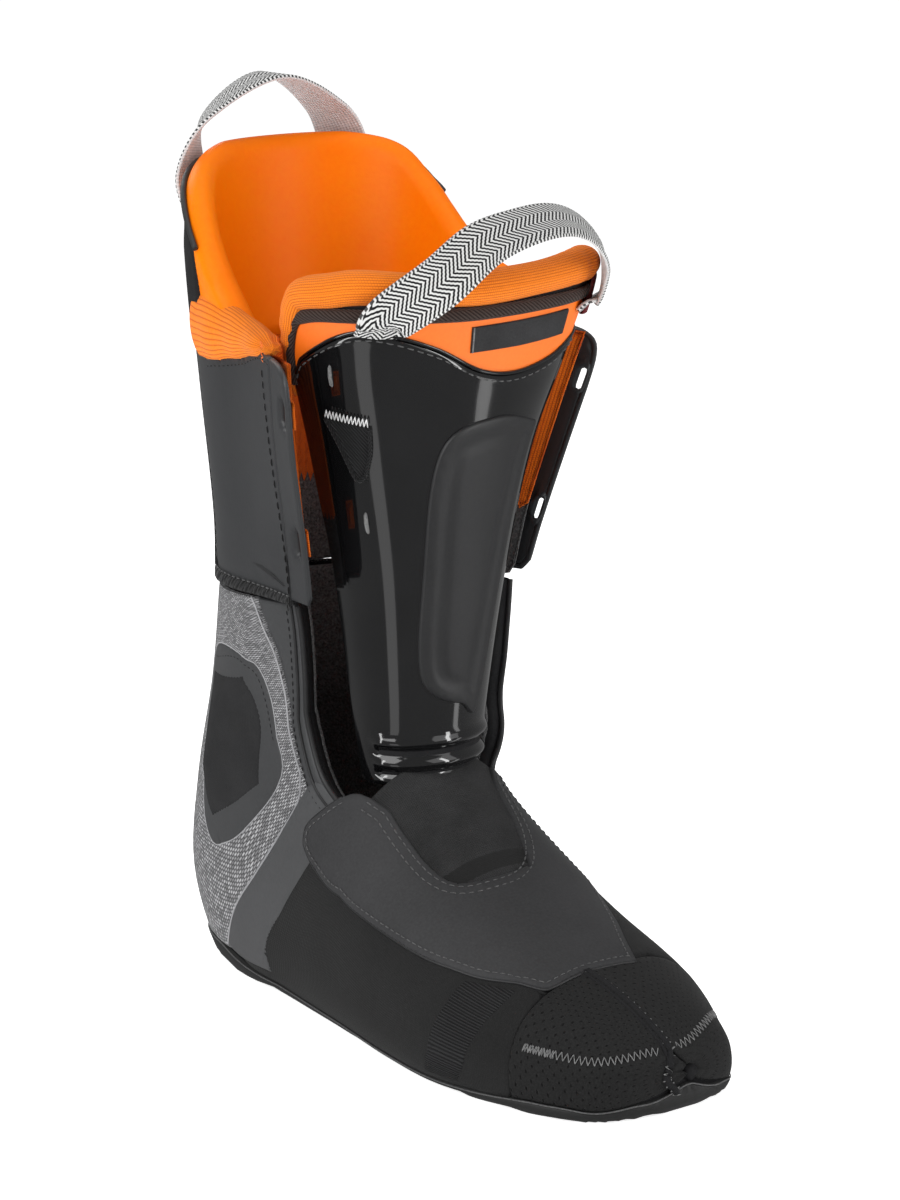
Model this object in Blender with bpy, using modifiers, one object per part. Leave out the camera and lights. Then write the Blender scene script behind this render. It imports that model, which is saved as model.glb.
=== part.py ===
"""Inner boot (liner) of an alpine ski boot, right foot. Millimetres inside, metres in the scene.
+Z is up, the toe points to -Y and the lateral (outer) side of the foot is -X."""

import math

import bmesh
import bpy
from mathutils import Vector
from mathutils.geometry import delaunay_2d_cdt

MM = 0.001
HEEL_Y = 142.5  # y of the back of the heel; f below is the distance forward of it
SOLE_TOP = 2.3  # height of the flat under the foot, above the ground
SPLIT = 5 / 14  # column of the throat's edge
GAP = 0.3  # clearance between touching pieces, per side of a seam

# Wall layers, measured outward from the skin of the upper
LINING_IN, LINING_T = -6.7, 0.8
FOAM_IN, FOAM_T = -5.5, 4.2
PANEL_T = 1.5
OVERLAY_IN, OVERLAY_T = 2.0, 1.1
FLAP_T = 1.8
TONGUE_FOAM_T = 8.0
SHELL_T = 2.0
STRAP_W, STRAP_T = 20.0, 1.6
CENTRE = (-1.7, 2.1, -0.05)  # puts the middle of the outline over the origin and the sole on z 0

# u, rear/bottom point (f, z), top/front point (f, z), split, half widths lateral and medial,
# sideways shift, roundness of the rear and of the front quarter
FOOT = [
    (0.00, 286, 16, 286, 18, 0.50, 1, 1, 6, 2.0, 2.0),
    (0.03, 283, 3, 281, 27, 0.45, 25, 22, 6, 2.3, 2.2),
    (0.08, 271, -8, 268, 36, 0.42, 39, 33, 5, 2.7, 2.3),
    (0.16, 246, -8, 240, 47, 0.40, 49, 46, 3, 2.9, 2.3),
    (0.25, 210, -8, 205, 62, 0.38, 54, 51, 0, 2.9, 2.2),
    (0.34, 176, -8, 174, 80, 0.36, 54, 49, 0, 2.8, 2.2),
    (0.42, 138, -8, 152, 97, 0.38, 51, 46, 0, 2.75, 2.2),
    (0.48, 90, -10, 143, 110, 0.42, 46, 44, 0, 2.65, 2.3),
    (0.53, 35, -14, 139, 124, 0.46, 42, 44, 0, 2.4, 2.4),
    (0.58, 3, 18, 137, 138, 0.50, 40, 44, 0, 2.2, 2.6),
    (0.64, 7, 62, 136, 154, 0.52, 41, 45, 0, 2.2, 2.8),
    (0.71, 21, 112, 135, 164, 0.50, 42, 46, 0, 2.1, 2.9),
    (0.80, 30, 160, 133, 167, 0.50, 43, 47, 0, 2.1, 3.0),
]
FOOT_ROWS = [0, 0.03, 0.07, 0.115, 0.165, 0.22, 0.28, 0.34, 0.385, 0.42, 0.465, 0.505, 0.54]
FOOT_ROWS += [0.58, 0.63, 0.69, 0.745, 0.8]
FOOT_COLS = [-1 + j / 14 for j in range(29)]
THROAT = [(0, 0.22), (0.42, 0.22), (0.48, 0.28), (0.6, 0.34), (0.8, 0.37)]

# z, back f, widest f, half widths lateral and medial, front edge (f, x) lateral and medial, back x
CUFF = [
    (140, 27, 80, 43, 45, 124, 45, 124, 46, 0),
    (163, 30, 79, 43, 46, 132, 50, 134, 50, 0),
    (190, 32, 78, 45, 48, 137, 56, 139, 56, 2),
    (240, 27, 76, 50, 54, 146, 69, 148, 70, 5),
    (290, 18, 74, 53, 62, 156, 78, 158, 84, 9),
    (335, 9, 72, 52, 70, 162, 84, 162, 92, 13),
]
CUFF_ROWS = [0, 0.1, 0.2, 0.3, 0.42, 0.54, 0.66, 0.78, 0.9, 1]
CUFF_COLS = [-1, -0.92, -0.84, -0.74, -0.63, -0.52, -0.42, -0.31, -0.2, -0.1]
CUFF_COLS += [0] + [-v for v in reversed(CUFF_COLS)]
CUFF_BASE = [(0, 161), (0.5, 164.4), (0.84, 166.8), (1, 168)]
RIM = [(0, 332), (0.3, 332), (0.42, 322), (0.52, 308), (0.65, 292), (0.8, 282), (1, 274)]
SEAM = 0.84  # column of the stitched seam that each flap turns on

# z, front f, half widths lateral and medial, edge f lateral and medial
TONGUE = [
    (100, 152, 25, 27, 130, 130),
    (130, 155, 28, 30, 128, 130),
    (180, 160, 34, 37, 128, 133),
    (225, 165, 43, 46, 127, 139),
    (260, 170, 51, 58, 127, 146),
    (285, 173, 54, 66, 128, 150),
    (305, 172, 55, 69, 129, 152),
]
TONGUE_ROWS = [i / 8 for i in range(9)]
TONGUE_COLS = [-1 + j / 5 for j in range(11)]
TONGUE_Z = (104.5, 300)

BLACK = (0.012, 0.012, 0.013)
CHARCOAL = (0.035, 0.036, 0.038)
DARK = (0.02, 0.02, 0.022)
GREY = (0.22, 0.22, 0.23)
ORANGE = (0.9, 0.2, 0.01)
RUST = (0.5, 0.1, 0.01)
MAROON = (0.09, 0.012, 0.015)
WEBBING = (0.3, 0.3, 0.3)


def clear_scene():
    for obj in list(bpy.data.objects):
        bpy.data.objects.remove(obj, do_unlink=True)


def collection(name):
    made = bpy.data.collections.new(name)
    bpy.context.scene.collection.children.link(made)
    return made


def blend(pairs, x):
    """Straight-line interpolation in a list of (x, y)."""
    for (x0, y0), (x1, y1) in zip(pairs, pairs[1:]):
        if x <= x1:
            return y0 + (y1 - y0) * max(0, x - x0) / (x1 - x0)
    return pairs[-1][1]


def hermite(table, x):
    """Smooth interpolation of the rows of a table by their first number."""
    last = len(table) - 2
    i = max(0, min(last, sum(row[0] <= x for row in table) - 1))
    h = table[i + 1][0] - table[i][0]
    t = (x - table[i][0]) / h

    def slope(k, c):
        low, high = max(k - 1, 0), min(k + 1, last + 1)
        return (table[high][c] - table[low][c]) / (table[high][0] - table[low][0]) * h

    return [
        (2 * t**3 - 3 * t**2 + 1) * table[i][c]
        + (t**3 - 2 * t**2 + t) * slope(i, c)
        + (3 * t**2 - 2 * t**3) * table[i + 1][c]
        + (t**3 - t**2) * slope(i + 1, c)
        for c in range(1, len(table[0]))
    ]


def power(value, exponent):
    return abs(value) ** exponent


def ramp(x, start, end):
    """A smooth step from 0 at start to 1 at end."""
    k = min(max((x - start) / (end - start), 0), 1)
    return k * k * (3 - 2 * k)


def foot_point(u, s):
    """s is 0 at the top or front, -1 lateral and +1 medial round to the bottom or back."""
    rear_f, rear_z, top_f, top_z, split, lateral, medial, shift, n_rear, n_top = hermite(FOOT, u)
    s = (s + 1) % 2 - 1
    throat = blend(THROAT, u)
    a = abs(s)
    w = throat * a / SPLIT if a <= SPLIT else throat + (1 - throat) * (a - SPLIT) / (1 - SPLIT)
    around = (1 - w) * math.pi
    if w >= 0.5:
        x = power(math.sin(around), 2 / n_rear)
        d = split - power(math.cos(around), 2 / n_rear) * split
    else:
        x = power(math.cos(around - math.pi / 2), 2 / n_top)
        d = split + power(math.sin(around - math.pi / 2), 2 / n_top) * (1 - split)
    side = -lateral if s < 0 else medial
    f = rear_f + (top_f - rear_f) * d
    z = rear_z + (top_z - rear_z) * d
    flare = ramp(s, 0.21, 0.32) * ramp(s, 0.5, SPLIT) * ramp(u, 0.47, 0.57)
    return Vector((shift + side * x + 5 * flare, HEEL_Y - f - 17 * flare, max(z, SOLE_TOP)))


def cuff_point(t, v):
    """t runs from the cuff's bottom edge to its rim, v from one front edge round the back."""
    a = abs(v)
    z = blend(CUFF_BASE, a) + t * (blend(RIM, a) - blend(CUFF_BASE, a))
    back, wide, lateral, medial, front_l, edge_l, front_m, edge_m, back_x = hermite(CUFF, z)
    side, width = (-1, lateral) if v < 0 else (1, medial)
    front, edge = (front_l, edge_l) if v < 0 else (front_m, edge_m)
    if a <= 0.5:
        x = side * width * power(math.sin(a * math.pi), 0.93) + back_x * (1 - 2 * a)
        f = wide - (wide - back) * power(math.cos(a * math.pi), 0.93)
    else:
        k = 2 * a - 1
        x = side * (width + (edge - width) * (1.6 * k**2 - 0.6 * k**3))
        f = wide + (front - wide) * k
    return Vector((x, HEEL_Y - f, z))


def tongue_point(t, s):
    """t runs up the tongue, s from its lateral edge round the shin to its medial edge."""
    z = TONGUE_Z[0] + t * (TONGUE_Z[1] - TONGUE_Z[0])
    front, lateral, medial, edge_l, edge_m = hermite(TONGUE, z)
    edge = edge_l if s < 0 else edge_m
    around = s * math.pi / 2
    x = (lateral if s < 0 else medial) * math.sin(around)
    return Vector((x, HEEL_Y - edge - (front - edge) * power(math.cos(around), 0.9), z))


class Skin:
    """A surface sampled on a grid of rows and columns, with a normal at every corner."""

    def __init__(self, point, rows, cols, ring=False, outward=1):
        self.rows, self.cols, self.ring, self.outward = rows, cols, ring, outward
        self.points = [[point(u, v) for v in cols] for u in rows]
        self.normals = [[self.normal(i, j) for j in range(len(cols))] for i in range(len(rows))]

    def normal(self, i, j):
        last_i, last_j = len(self.rows) - 1, len(self.cols) - 1
        before, after = max(i - 1, 0), min(i + 1, last_i)
        left, right = max(j - 1, 0), min(j + 1, last_j)
        if self.ring and j in (0, last_j):
            left, right = last_j - 1, 1
        up = self.points[after][j] - self.points[before][j]
        across = self.points[i][right] - self.points[i][left]
        return across.cross(up).normalized() * self.outward

    def corner(self, i, j, d):
        j = j % (len(self.cols) - 1) if self.ring else j
        return self.points[i][j] + self.normals[i][j] * d

    def at(self, a, b, d):
        """The point at grid position (a, b), on the flat triangles that join the corners."""
        i = min(int(a), len(self.rows) - 2)
        j = int(b) if self.ring else min(int(b), len(self.cols) - 2)
        fa, fb = a - i, b - j
        low, high = self.corner(i, j, d), self.corner(i + 1, j + 1, d)
        if fa >= fb:
            middle = self.corner(i + 1, j, d)
            return low + (middle - low) * fa + (high - middle) * fb
        middle = self.corner(i, j + 1, d)
        return low + (middle - low) * fb + (high - middle) * fa

    def index(self, u, v):
        """Grid position of surface coordinates (u, v). On a ring v may pass 1."""
        turns = 0
        if self.ring and v > 1:
            v, turns = v - 2, len(self.cols) - 1
        return (
            blend([(x, k) for k, x in enumerate(self.rows)], u),
            turns + blend([(x, k) for k, x in enumerate(self.cols)], v),
        )


def inside(outline, x, y):
    hit = False
    for (x0, y0), (x1, y1) in zip(outline, outline[1:] + outline[:1]):
        if (y0 > y) != (y1 > y) and x < (x1 - x0) * (y - y0) / (y1 - y0) + x0:
            hit = not hit
    return hit


def grid_under(skin, outline):
    """Corners and triangulating edges of the grid cells under an outline, in grid positions."""
    low_a, high_a = math.floor(min(a for a, _ in outline)), math.ceil(max(a for a, _ in outline))
    low_b, high_b = math.floor(min(b for _, b in outline)), math.ceil(max(b for _, b in outline))
    if not skin.ring:
        low_b, high_b = max(low_b, 0), min(high_b, len(skin.cols) - 1)
    low_a, high_a = max(low_a, 0), min(high_a, len(skin.rows) - 1)
    wide = high_b - low_b + 1
    corners = [(a, b) for a in range(low_a, high_a + 1) for b in range(low_b, high_b + 1)]
    edges = []
    for a in range(high_a - low_a + 1):
        for b in range(wide):
            k = a * wide + b
            if b < wide - 1:
                edges.append((k, k + 1))
            if a < high_a - low_a:
                edges.append((k, k + wide))
                if b < wide - 1:
                    edges.append((k, k + wide + 1))
    return corners, edges


def patch_mesh(skin, outline, holes, d, inset):
    loops = [[skin.index(u, v) for u, v in loop] for loop in [outline, *holes]]
    points, edges = grid_under(skin, loops[0])
    for loop in loops:
        first = len(points)
        points += loop
        edges += [(first + k, first + (k + 1) % len(loop)) for k in range(len(loop))]
    flat, _, faces, *_ = delaunay_2d_cdt([Vector(p) for p in points], edges, [], 0, 1e-5)
    mesh = bmesh.new()
    verts = [mesh.verts.new(skin.at(p.x, p.y, d) * MM) for p in flat]
    for face in faces:
        x = sum(flat[k].x for k in face) / 3
        y = sum(flat[k].y for k in face) / 3
        if inside(loops[0], x, y) and not any(inside(hole, x, y) for hole in loops[1:]):
            mesh.faces.new([verts[k] for k in face])
    bmesh.ops.delete(mesh, geom=[v for v in mesh.verts if not v.link_faces], context="VERTS")
    bmesh.ops.remove_doubles(mesh, verts=mesh.verts, dist=2e-5)
    bmesh.ops.dissolve_degenerate(mesh, dist=1e-5, edges=mesh.edges)
    bmesh.ops.recalc_face_normals(mesh, faces=mesh.faces)
    middle = sum((skin.at(p.x, p.y, 1) - skin.at(p.x, p.y, 0) for p in flat), Vector())
    mesh.normal_update()
    if sum((f.normal * f.calc_area() for f in mesh.faces), Vector()).dot(middle) < 0:
        bmesh.ops.reverse_faces(mesh, faces=mesh.faces)
        mesh.normal_update()
    pull_in(mesh, inset)
    return mesh


def pull_in(mesh, inset):
    """Moves the open border of a mesh inward along its faces."""
    moves = {}
    for edge in mesh.edges:
        if len(edge.link_faces) != 1:
            continue
        face = edge.link_faces[0]
        along = (edge.verts[1].co - edge.verts[0].co).normalized()
        inward = face.normal.cross(along)
        if inward.dot(face.calc_center_median() - edge.verts[0].co) < 0:
            inward = -inward
        for vert in edge.verts:
            moves.setdefault(vert, []).append(inward)
    for vert, ways in moves.items():
        total = sum(ways, Vector())
        if total.length > 0.3:
            vert.co += total.normalized() * inset * MM


def material(name, colour, roughness):
    made = bpy.data.materials.new(name)
    made.use_nodes = True
    shader = made.node_tree.nodes["Principled BSDF"]
    shader.inputs["Base Color"].default_value = (*colour, 1)
    shader.inputs["Roughness"].default_value = roughness
    return made


def add(name, mesh, colour, roughness):
    data = bpy.data.meshes.new(name)
    mesh.to_mesh(data)
    mesh.free()
    obj = bpy.data.objects.new(name, data)
    data.materials.append(material(name, colour, roughness))
    PARTS.objects.link(obj)
    return obj


def thicken(obj, thickness):
    solid = obj.modifiers.new("Thickness", "SOLIDIFY")
    solid.thickness = thickness * MM
    solid.offset = 1
    return obj


def patch(name, skin, outline, d, thickness, colour, roughness=0.8, holes=(), inset=GAP):
    mesh = patch_mesh(skin, outline, holes, d, inset)
    return thicken(add(name, mesh, colour, roughness), thickness)


def mirrored(outline):
    return [(u, -s) for u, s in outline]


def box_outline(low, high, left, right):
    return [(low, left), (high, left), (high, right), (low, right)]


def slot(skin, t, v, long, wide):
    """A rounded slot in surface coordinates, long along t."""
    loop = []
    for k in range(8):
        turn = math.pi * (k + 0.5) / 4
        end = long / 2 * (1 if math.cos(turn) > 0 else -1)
        loop.append((t + end + wide * 0.35 * math.cos(turn), v + wide / 2 * math.sin(turn)))
    return loop


def set_origin(names, pivot):
    """Puts the origins of a moving piece on its joint's axis without moving the meshes."""
    for name in names:
        obj = bpy.data.objects[name]
        for vert in obj.data.vertices:
            vert.co -= pivot * MM
        obj.location = pivot * MM


def strap_loop(name, path, widths, colour):
    """A flat strap along a path of (point, direction of its width)."""
    mesh = bmesh.new()
    rows = []
    for k, (point, across) in enumerate(path):
        before = path[max(k - 1, 0)][0]
        after = path[min(k + 1, len(path) - 1)][0]
        out = (after - before).normalized().cross(across).normalized()
        half = across.normalized() * widths / 2
        thick = out * STRAP_T / 2
        rows.append([mesh.verts.new((point + a * half + b * thick) * MM)
                     for a, b in ((-1, -1), (1, -1), (1, 1), (-1, 1))])
    for low, high in zip(rows, rows[1:]):
        for k in range(4):
            mesh.faces.new((low[k], low[(k + 1) % 4], high[(k + 1) % 4], high[k]))
    mesh.faces.new(rows[0])
    mesh.faces.new(reversed(rows[-1]))
    bmesh.ops.recalc_face_normals(mesh, faces=mesh.faces)
    return add(name, mesh, colour, 0.7)


def curve_through(points, steps):
    """Catmull-Rom points through a list of vectors."""
    padded = [2 * points[0] - points[1], *points, 2 * points[-1] - points[-2]]
    found = []
    for k in range(1, len(padded) - 2):
        p0, p1, p2, p3 = padded[k - 1:k + 3]
        for step in range(steps):
            t = step / steps
            found.append(0.5 * (2 * p1 + (p2 - p0) * t + (2 * p0 - 5 * p1 + 4 * p2 - p3) * t**2
                                + (3 * p1 - p0 - 3 * p2 + p3) * t**3))
    return [*found, points[-1]]


clear_scene()
PARTS = collection("ski_boot_liner")
foot = Skin(foot_point, FOOT_ROWS, FOOT_COLS, ring=True)
cuff = Skin(cuff_point, CUFF_ROWS, CUFF_COLS, outward=-1)
tongue = Skin(tongue_point, TONGUE_ROWS, TONGUE_COLS)


def sock(name, first, last, d, thickness, colour):
    """A closed toe and foot, open at the throat: the whole ring below the instep, then the
    ring without the throat's columns."""
    mesh = bmesh.new()
    ring = len(FOOT_COLS) - 1
    grid = [[mesh.verts.new(foot.corner(i, j, d) * MM) for j in range(ring)]
            for i in range(first, last + 1)]
    for i, (low, high) in enumerate(zip(grid, grid[1:]), start=first):
        for j in range(ring):
            if FOOT_ROWS[i] >= 0.42 and 9 <= j < 19:
                continue
            k = (j + 1) % ring
            mesh.faces.new((low[j], high[j], high[k]))
            mesh.faces.new((low[j], high[k], low[k]))
    middle = sum((v.co for v in grid[0]), Vector()) / ring
    tip = mesh.verts.new(middle)
    for j in range(ring):
        mesh.faces.new((tip, grid[0][j], grid[0][(j + 1) % ring]))
    bmesh.ops.delete(mesh, geom=[v for v in mesh.verts if not v.link_faces], context="VERTS")
    bmesh.ops.recalc_face_normals(mesh, faces=mesh.faces)
    mesh.normal_update()
    if sum(f.normal.dot(f.calc_center_median() - Vector((0, 0, 0.05))) * f.calc_area()
           for f in mesh.faces) < 0:
        bmesh.ops.reverse_faces(mesh, faces=mesh.faces)
    pull_in(mesh, GAP)
    return thicken(add(name, mesh, colour, 0.9), thickness)


# Foot: lining, foam, footbed and sole
last = len(FOOT_ROWS) - 1
sock("foot_lining", 2, last, LINING_IN, LINING_T, BLACK)
sock("foot_foam", 1, last, FOAM_IN, FOAM_T, DARK)
SOLE_EDGE = [(0.0, 0.0), (0.03, 0.72), (0.05, 0.66), (0.08, 0.61), (0.115, 0.58), (0.155, 0.575),
             (0.2, 0.575), (0.25, 0.6), (0.34, 0.66), (0.42, 0.69), (0.48, 0.7), (0.525, 0.7),
             (0.545, 0.76), (0.56, 0.86), (0.568, 1.0)]
rim = [(u, s) for u, s in SOLE_EDGE[1:]]
sole_outline = [(0.012, 0.93), *rim[:-1], rim[-1], *[(u, 2 - s) for u, s in reversed(rim[:-1])],
                (0.012, 1.07)]
patch("outsole", foot, sole_outline, 0.7, 1.55, BLACK, 0.6, inset=0)
bed_outline = [(0.125, 0.88), (0.14, 0.85), (0.17, 0.82), (0.22, 0.82), (0.3, 0.84), (0.38, 0.86),
               (0.46, 0.87), (0.485, 0.9), (0.49, 1.0)]
bed_outline += [(u, 2 - s) for u, s in reversed(bed_outline[:-1])]
patch("footbed", foot, bed_outline, LINING_IN - 4.2, 3.6, CHARCOAL, 0.9)


# Upper panels, each as an outline in the foot skin's coordinates. Negative s is the lateral side
TOE_LINE = [(0.155, -0.575), (0.15, -0.3), (0.148, -0.147), (0.15, 0.1), (0.155, 0.3), (0.155, 0.575)]
TOE_SEAM = [(0.149, -0.147), (0.045, -0.16), (0.0, -0.2)]
sole_side = [(0.0, 0.72), *SOLE_EDGE[1:6]]
patch("toe_panel_lateral", foot,
      [*mirrored(sole_side), TOE_LINE[1], *TOE_SEAM], 0, PANEL_T, BLACK)
patch("toe_panel_medial", foot,
      [*sole_side, *reversed(TOE_LINE[3:5]), *TOE_SEAM], 0, PANEL_T, BLACK)
GUSSET = [(0.345, -0.245), (0.333, 0), (0.345, 0.245), (0.395, 0.318), (0.43, 0.345),
          (0.43, -0.345), (0.395, -0.318)]
QUARTER_EDGE = [(0.515, -0.43), (0.517, -0.49), (0.52, -0.6), (0.515, -0.7)]
sole_rest = SOLE_EDGE[5:11]
cover_side = [*mirrored(sole_rest), (0.513, -0.7), *reversed(QUARTER_EDGE[:3]), (0.47, -0.405),
              (0.43, -0.372), (0.4, -0.335), (0.337, -0.265)]
cover = [*TOE_LINE[1:5], *mirrored(cover_side), (0.321, 0), *reversed(cover_side)]
patch("forefoot_cover", foot, cover, 0, PANEL_T, BLACK)
patch("instep_gusset", foot, GUSSET, 0, 1.2, DARK)
VAMP_LOW = [(0.155, -0.30), (0.21, -0.335), (0.27, -0.36), (0.345, -0.413), (0.42, -0.45),
            (0.48, -0.467), (0.497, -0.43), (0.485, -0.38), (0.41, -0.345), (0.34, -0.28)]
VAMP_MEDIAL = [(0.318, 0.1), (0.34, 0.28), (0.41, 0.345), (0.46, 0.38), (0.46, 0.45),
               (0.4, 0.44), (0.345, 0.43), (0.27, 0.4), (0.2, 0.35), (0.15, 0.11)]
patch("vamp_overlay", foot, [*VAMP_LOW, (0.318, -0.1), *VAMP_MEDIAL, (0.149, -0.147)],
      OVERLAY_IN, OVERLAY_T, CHARCOAL, 0.6)
BAND_EDGE = [(0.515, -0.42), (0.55, -0.4), (0.62, -0.41), (0.745, -0.46), (0.8, -0.48)]
band = [(0.8, -0.372), (0.436, -0.372), (0.47, -0.4), *BAND_EDGE]
quarter = [*BAND_EDGE, (0.8, -1), (0.568, -1), (0.56, -0.86), (0.545, -0.76), (0.525, -0.7),
           *reversed(QUARTER_EDGE[1:])]
FILM = [(0.73, -0.68), (0.71, -0.507), (0.595, -0.433), (0.56, -0.453), (0.565, -0.573),
        (0.595, -0.64)]
PAD = [(0.71, -0.653), (0.69, -0.51), (0.62, -0.48), (0.575, -0.487), (0.59, -0.613), (0.64, -0.67)]
WEDGE = [(0.495, -0.5), (0.503, -0.61), (0.505, -0.685), (0.525, -0.685), (0.53, -0.6),
         (0.53, -0.49), (0.545, -0.43), (0.52, -0.43)]
for side, turn in (("lateral", list), ("medial", mirrored)):
    patch("throat_band_" + side, foot, turn(band), 0, PANEL_T, BLACK)
    patch("quarter_" + side, foot, turn(quarter), 0, PANEL_T, GREY, 0.9)
    patch("ankle_film_" + side, foot, turn(FILM), OVERLAY_IN, 0.6, CHARCOAL, 0.5)
    patch("ankle_pad_" + side, foot, turn(PAD), OVERLAY_IN + 0.9, 1.2, BLACK, 0.7)
    patch("side_film_" + side, foot, turn(WEDGE), OVERLAY_IN + 0.2, 0.6, CHARCOAL, 0.5)


def cuff_t(z, v):
    low = blend(CUFF_BASE, abs(v))
    return (z - low) / (blend(RIM, abs(v)) - low)


def cuff_outline(points):
    """An outline in heights and columns, turned into the cuff skin's coordinates."""
    return [(cuff_t(z, v), v) for z, v in points]


# Cuff
WALL_TOP = [(256, -0.3), (256, -0.44), (260, -0.6), (262, -0.72), (262, -0.838)]
wall = [(0.0, -0.83), (0.0, 0.0), (0.0, 0.83)]
top = cuff_outline([*[(z, -v) for z, v in reversed(WALL_TOP)], *WALL_TOP])
LINING_SPLIT = 195
low_top = cuff_outline([(LINING_SPLIT, v) for v in (0.83, 0, -0.83)])
high_foot = cuff_outline([(LINING_SPLIT + 1, v) for v in (-0.83, 0, 0.83)])
patch("cuff_foam", cuff, [*wall, *top], FOAM_IN, FOAM_T - 0.2, DARK, 0.9)
patch("cuff_lining_lower", cuff, [*wall, *low_top], LINING_IN, LINING_T, BLACK, 0.95)
patch("cuff_lining_upper", cuff, [*high_foot, *top], LINING_IN, LINING_T, RUST, 0.9)
hem = box_outline(0, 0.03, -0.83, 0.83)
patch("cuff_hem", cuff, hem, 0, 2.2, BLACK, 0.7)
panel = [(0.03, -0.3), *cuff_outline(WALL_TOP), (0.03, -0.838)]
spine = [(0.03, -0.3), *cuff_outline([(256, -0.3), (256, -0.43), (314, -0.43), (326, -0.3)])]
collar = [*cuff_outline([(257.5, 0.43), (257.5, -0.43)]), (1, -0.43), (1, 0.43)]
patch("spine_panel", cuff, [*spine, *reversed(mirrored(spine))], 0, PANEL_T, BLACK)
patch("rear_collar", cuff, collar, -9.5, 8.9, ORANGE, 0.6)
roll = [*cuff_outline(WALL_TOP[1:]), (1, -0.838), (1, -0.44)]
for side, turn in (("lateral", list), ("medial", mirrored)):
    patch("cuff_panel_" + side, cuff, turn(panel), 0, PANEL_T, CHARCOAL, 0.6)
    patch("collar_roll_" + side, cuff, turn(roll), -6.4, 8.6, ORANGE, 0.85)
    flap = [(0.03, -SEAM - 0.003), (0.035, -0.985), (0.07, -1), (0.84, -1), (0.9, -0.985),
            (0.93, -0.94), (0.93, -SEAM - 0.003)]
    slots = [turn(slot(cuff, t, -0.92, 0.075, 0.022)) for t in (0.25, 0.78)]
    patch("flap_" + side, cuff, turn(flap), 0, FLAP_T, BLACK, 0.6, holes=slots)

# Tongue
SHELL_TOP = [(0.83, -0.92), (0.87, -0.7), (0.88, -0.5), (0.85, -0.25), (0.8, 0), (0.785, 0.2),
             (0.8, 0.45), (0.83, 0.7), (0.83, 0.92)]
shell = [(0.0, 0.92), (0.0, 0), (0.0, -0.92), *SHELL_TOP]
SHIN = [(0.65, -0.22), (0.66, 0.5), (0.14, 0.3), (0.18, -0.33)]
patch("tongue_lining", tongue, box_outline(0.01, 0.91, -0.96, 0.96), -11.6, LINING_T, ORANGE, 0.9)
patch("tongue_foam", tongue, box_outline(0.0, 0.912, -1, 1), -10.4, TONGUE_FOAM_T, DARK, 0.9)
patch("tongue_shell", tongue, shell, -SHELL_T, SHELL_T, BLACK, 0.15)
patch("shin_plate", tongue, SHIN, 0.3, 1.2, CHARCOAL, 0.7)
patch("tongue_cover", tongue, [*SHELL_TOP, (0.885, 0.92), (0.885, -0.92)], -1.9, 1.3, ORANGE, 0.6)
patch("tongue_binding", tongue, box_outline(0.888, 0.908, -1, 1), -1.9, 2.4, MAROON, 0.9)
patch("tongue_roll", tongue, box_outline(0.93, 1, -1, 1), -9.5, 12, ORANGE, 0.9)
patch("tongue_label", tongue, box_outline(0.83, 0.88, 0.2, 0.6), -0.3, 0.5, BLACK, 0.9)
patch("tongue_side_tab", tongue, box_outline(0.84, 0.88, 0.72, 0.9), -0.3, 1.0, MAROON, 0.7)
patch("lace_keeper", tongue, box_outline(0.59, 0.72, -0.86, -0.6), 0.3, 1.2, BLACK, 0.8)

# Pull loops
FRONT_ARCH = [(-26, 187, 321), (8, 198, 331), (44, 189, 320)]
front = [tongue.at(*tongue.index(t, -0.62), d) for t, d in ((0.87, 3), (0.94, 5.4), (0.995, 6.4))]
front += [Vector((x, HEEL_Y - f, z)) for x, f, z in FRONT_ARCH]
front += [tongue.at(*tongue.index(t, 0.76), d) for t, d in ((0.995, 6.4), (0.94, 5.4), (0.87, 3))]
front_ways = [(-0.6, 0.8, 0), (-0.6, 0.8, 0), (-0.5, 0.85, 0.2), (-0.1, 0.85, 0.45),
              (0, 0.85, 0.53), (0.1, 0.85, 0.45), (0.6, 0.8, 0.2), (0.75, 0.65, 0), (0.8, 0.6, 0)]
REAR_LOOP = [(-19, 16, 303), (-22, 12.5, 320), (-15, 14, 342), (13, 19, 357.5), (42, 17, 342),
             (52, 17, 320), (49, 21.5, 303)]
rear = [Vector((x, HEEL_Y - f, z)) for x, f, z in REAR_LOOP]
rear_ways = [(0.93, 0.36, 0), (0.93, 0.36, 0), (0.5, 0.85, 0), (0, 1, 0),
             (-0.5, 0.85, 0), (-0.86, 0.5, 0), (-0.86, 0.5, 0)]
for name, points, ways in (("front_loop", front, front_ways), ("rear_loop", rear, rear_ways)):
    across = curve_through([Vector(w) for w in ways], 4)
    strap_loop(name, list(zip(curve_through(points, 4), across)), STRAP_W, WEBBING)

TONGUE_NODES = ["tongue_lining", "tongue_foam", "tongue_shell", "shin_plate", "tongue_cover",
                "tongue_binding", "tongue_roll", "tongue_label", "tongue_side_tab", "lace_keeper"]
for side, sign in (("lateral", -1), ("medial", 1)):
    low, middle, high = [cuff.at(*cuff.index(t, sign * SEAM), FLAP_T / 2) for t in (0.03, 0.48, 0.93)]
    set_origin(["flap_" + side], (low + 2 * middle + high) / 4)
set_origin(TONGUE_NODES, Vector((0, HEEL_Y - 150, 101)))
set_origin(["front_loop"], (front[0] + front[-1]) / 2)
set_origin(["rear_loop"], (rear[0] + rear[-1]) / 2)
for obj in PARTS.objects:
    obj.location += Vector(CENTRE) * MM
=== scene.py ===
import math

import bmesh
import bpy
import numpy as np
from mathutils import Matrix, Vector
from mathutils.geometry import delaunay_2d_cdt


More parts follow.
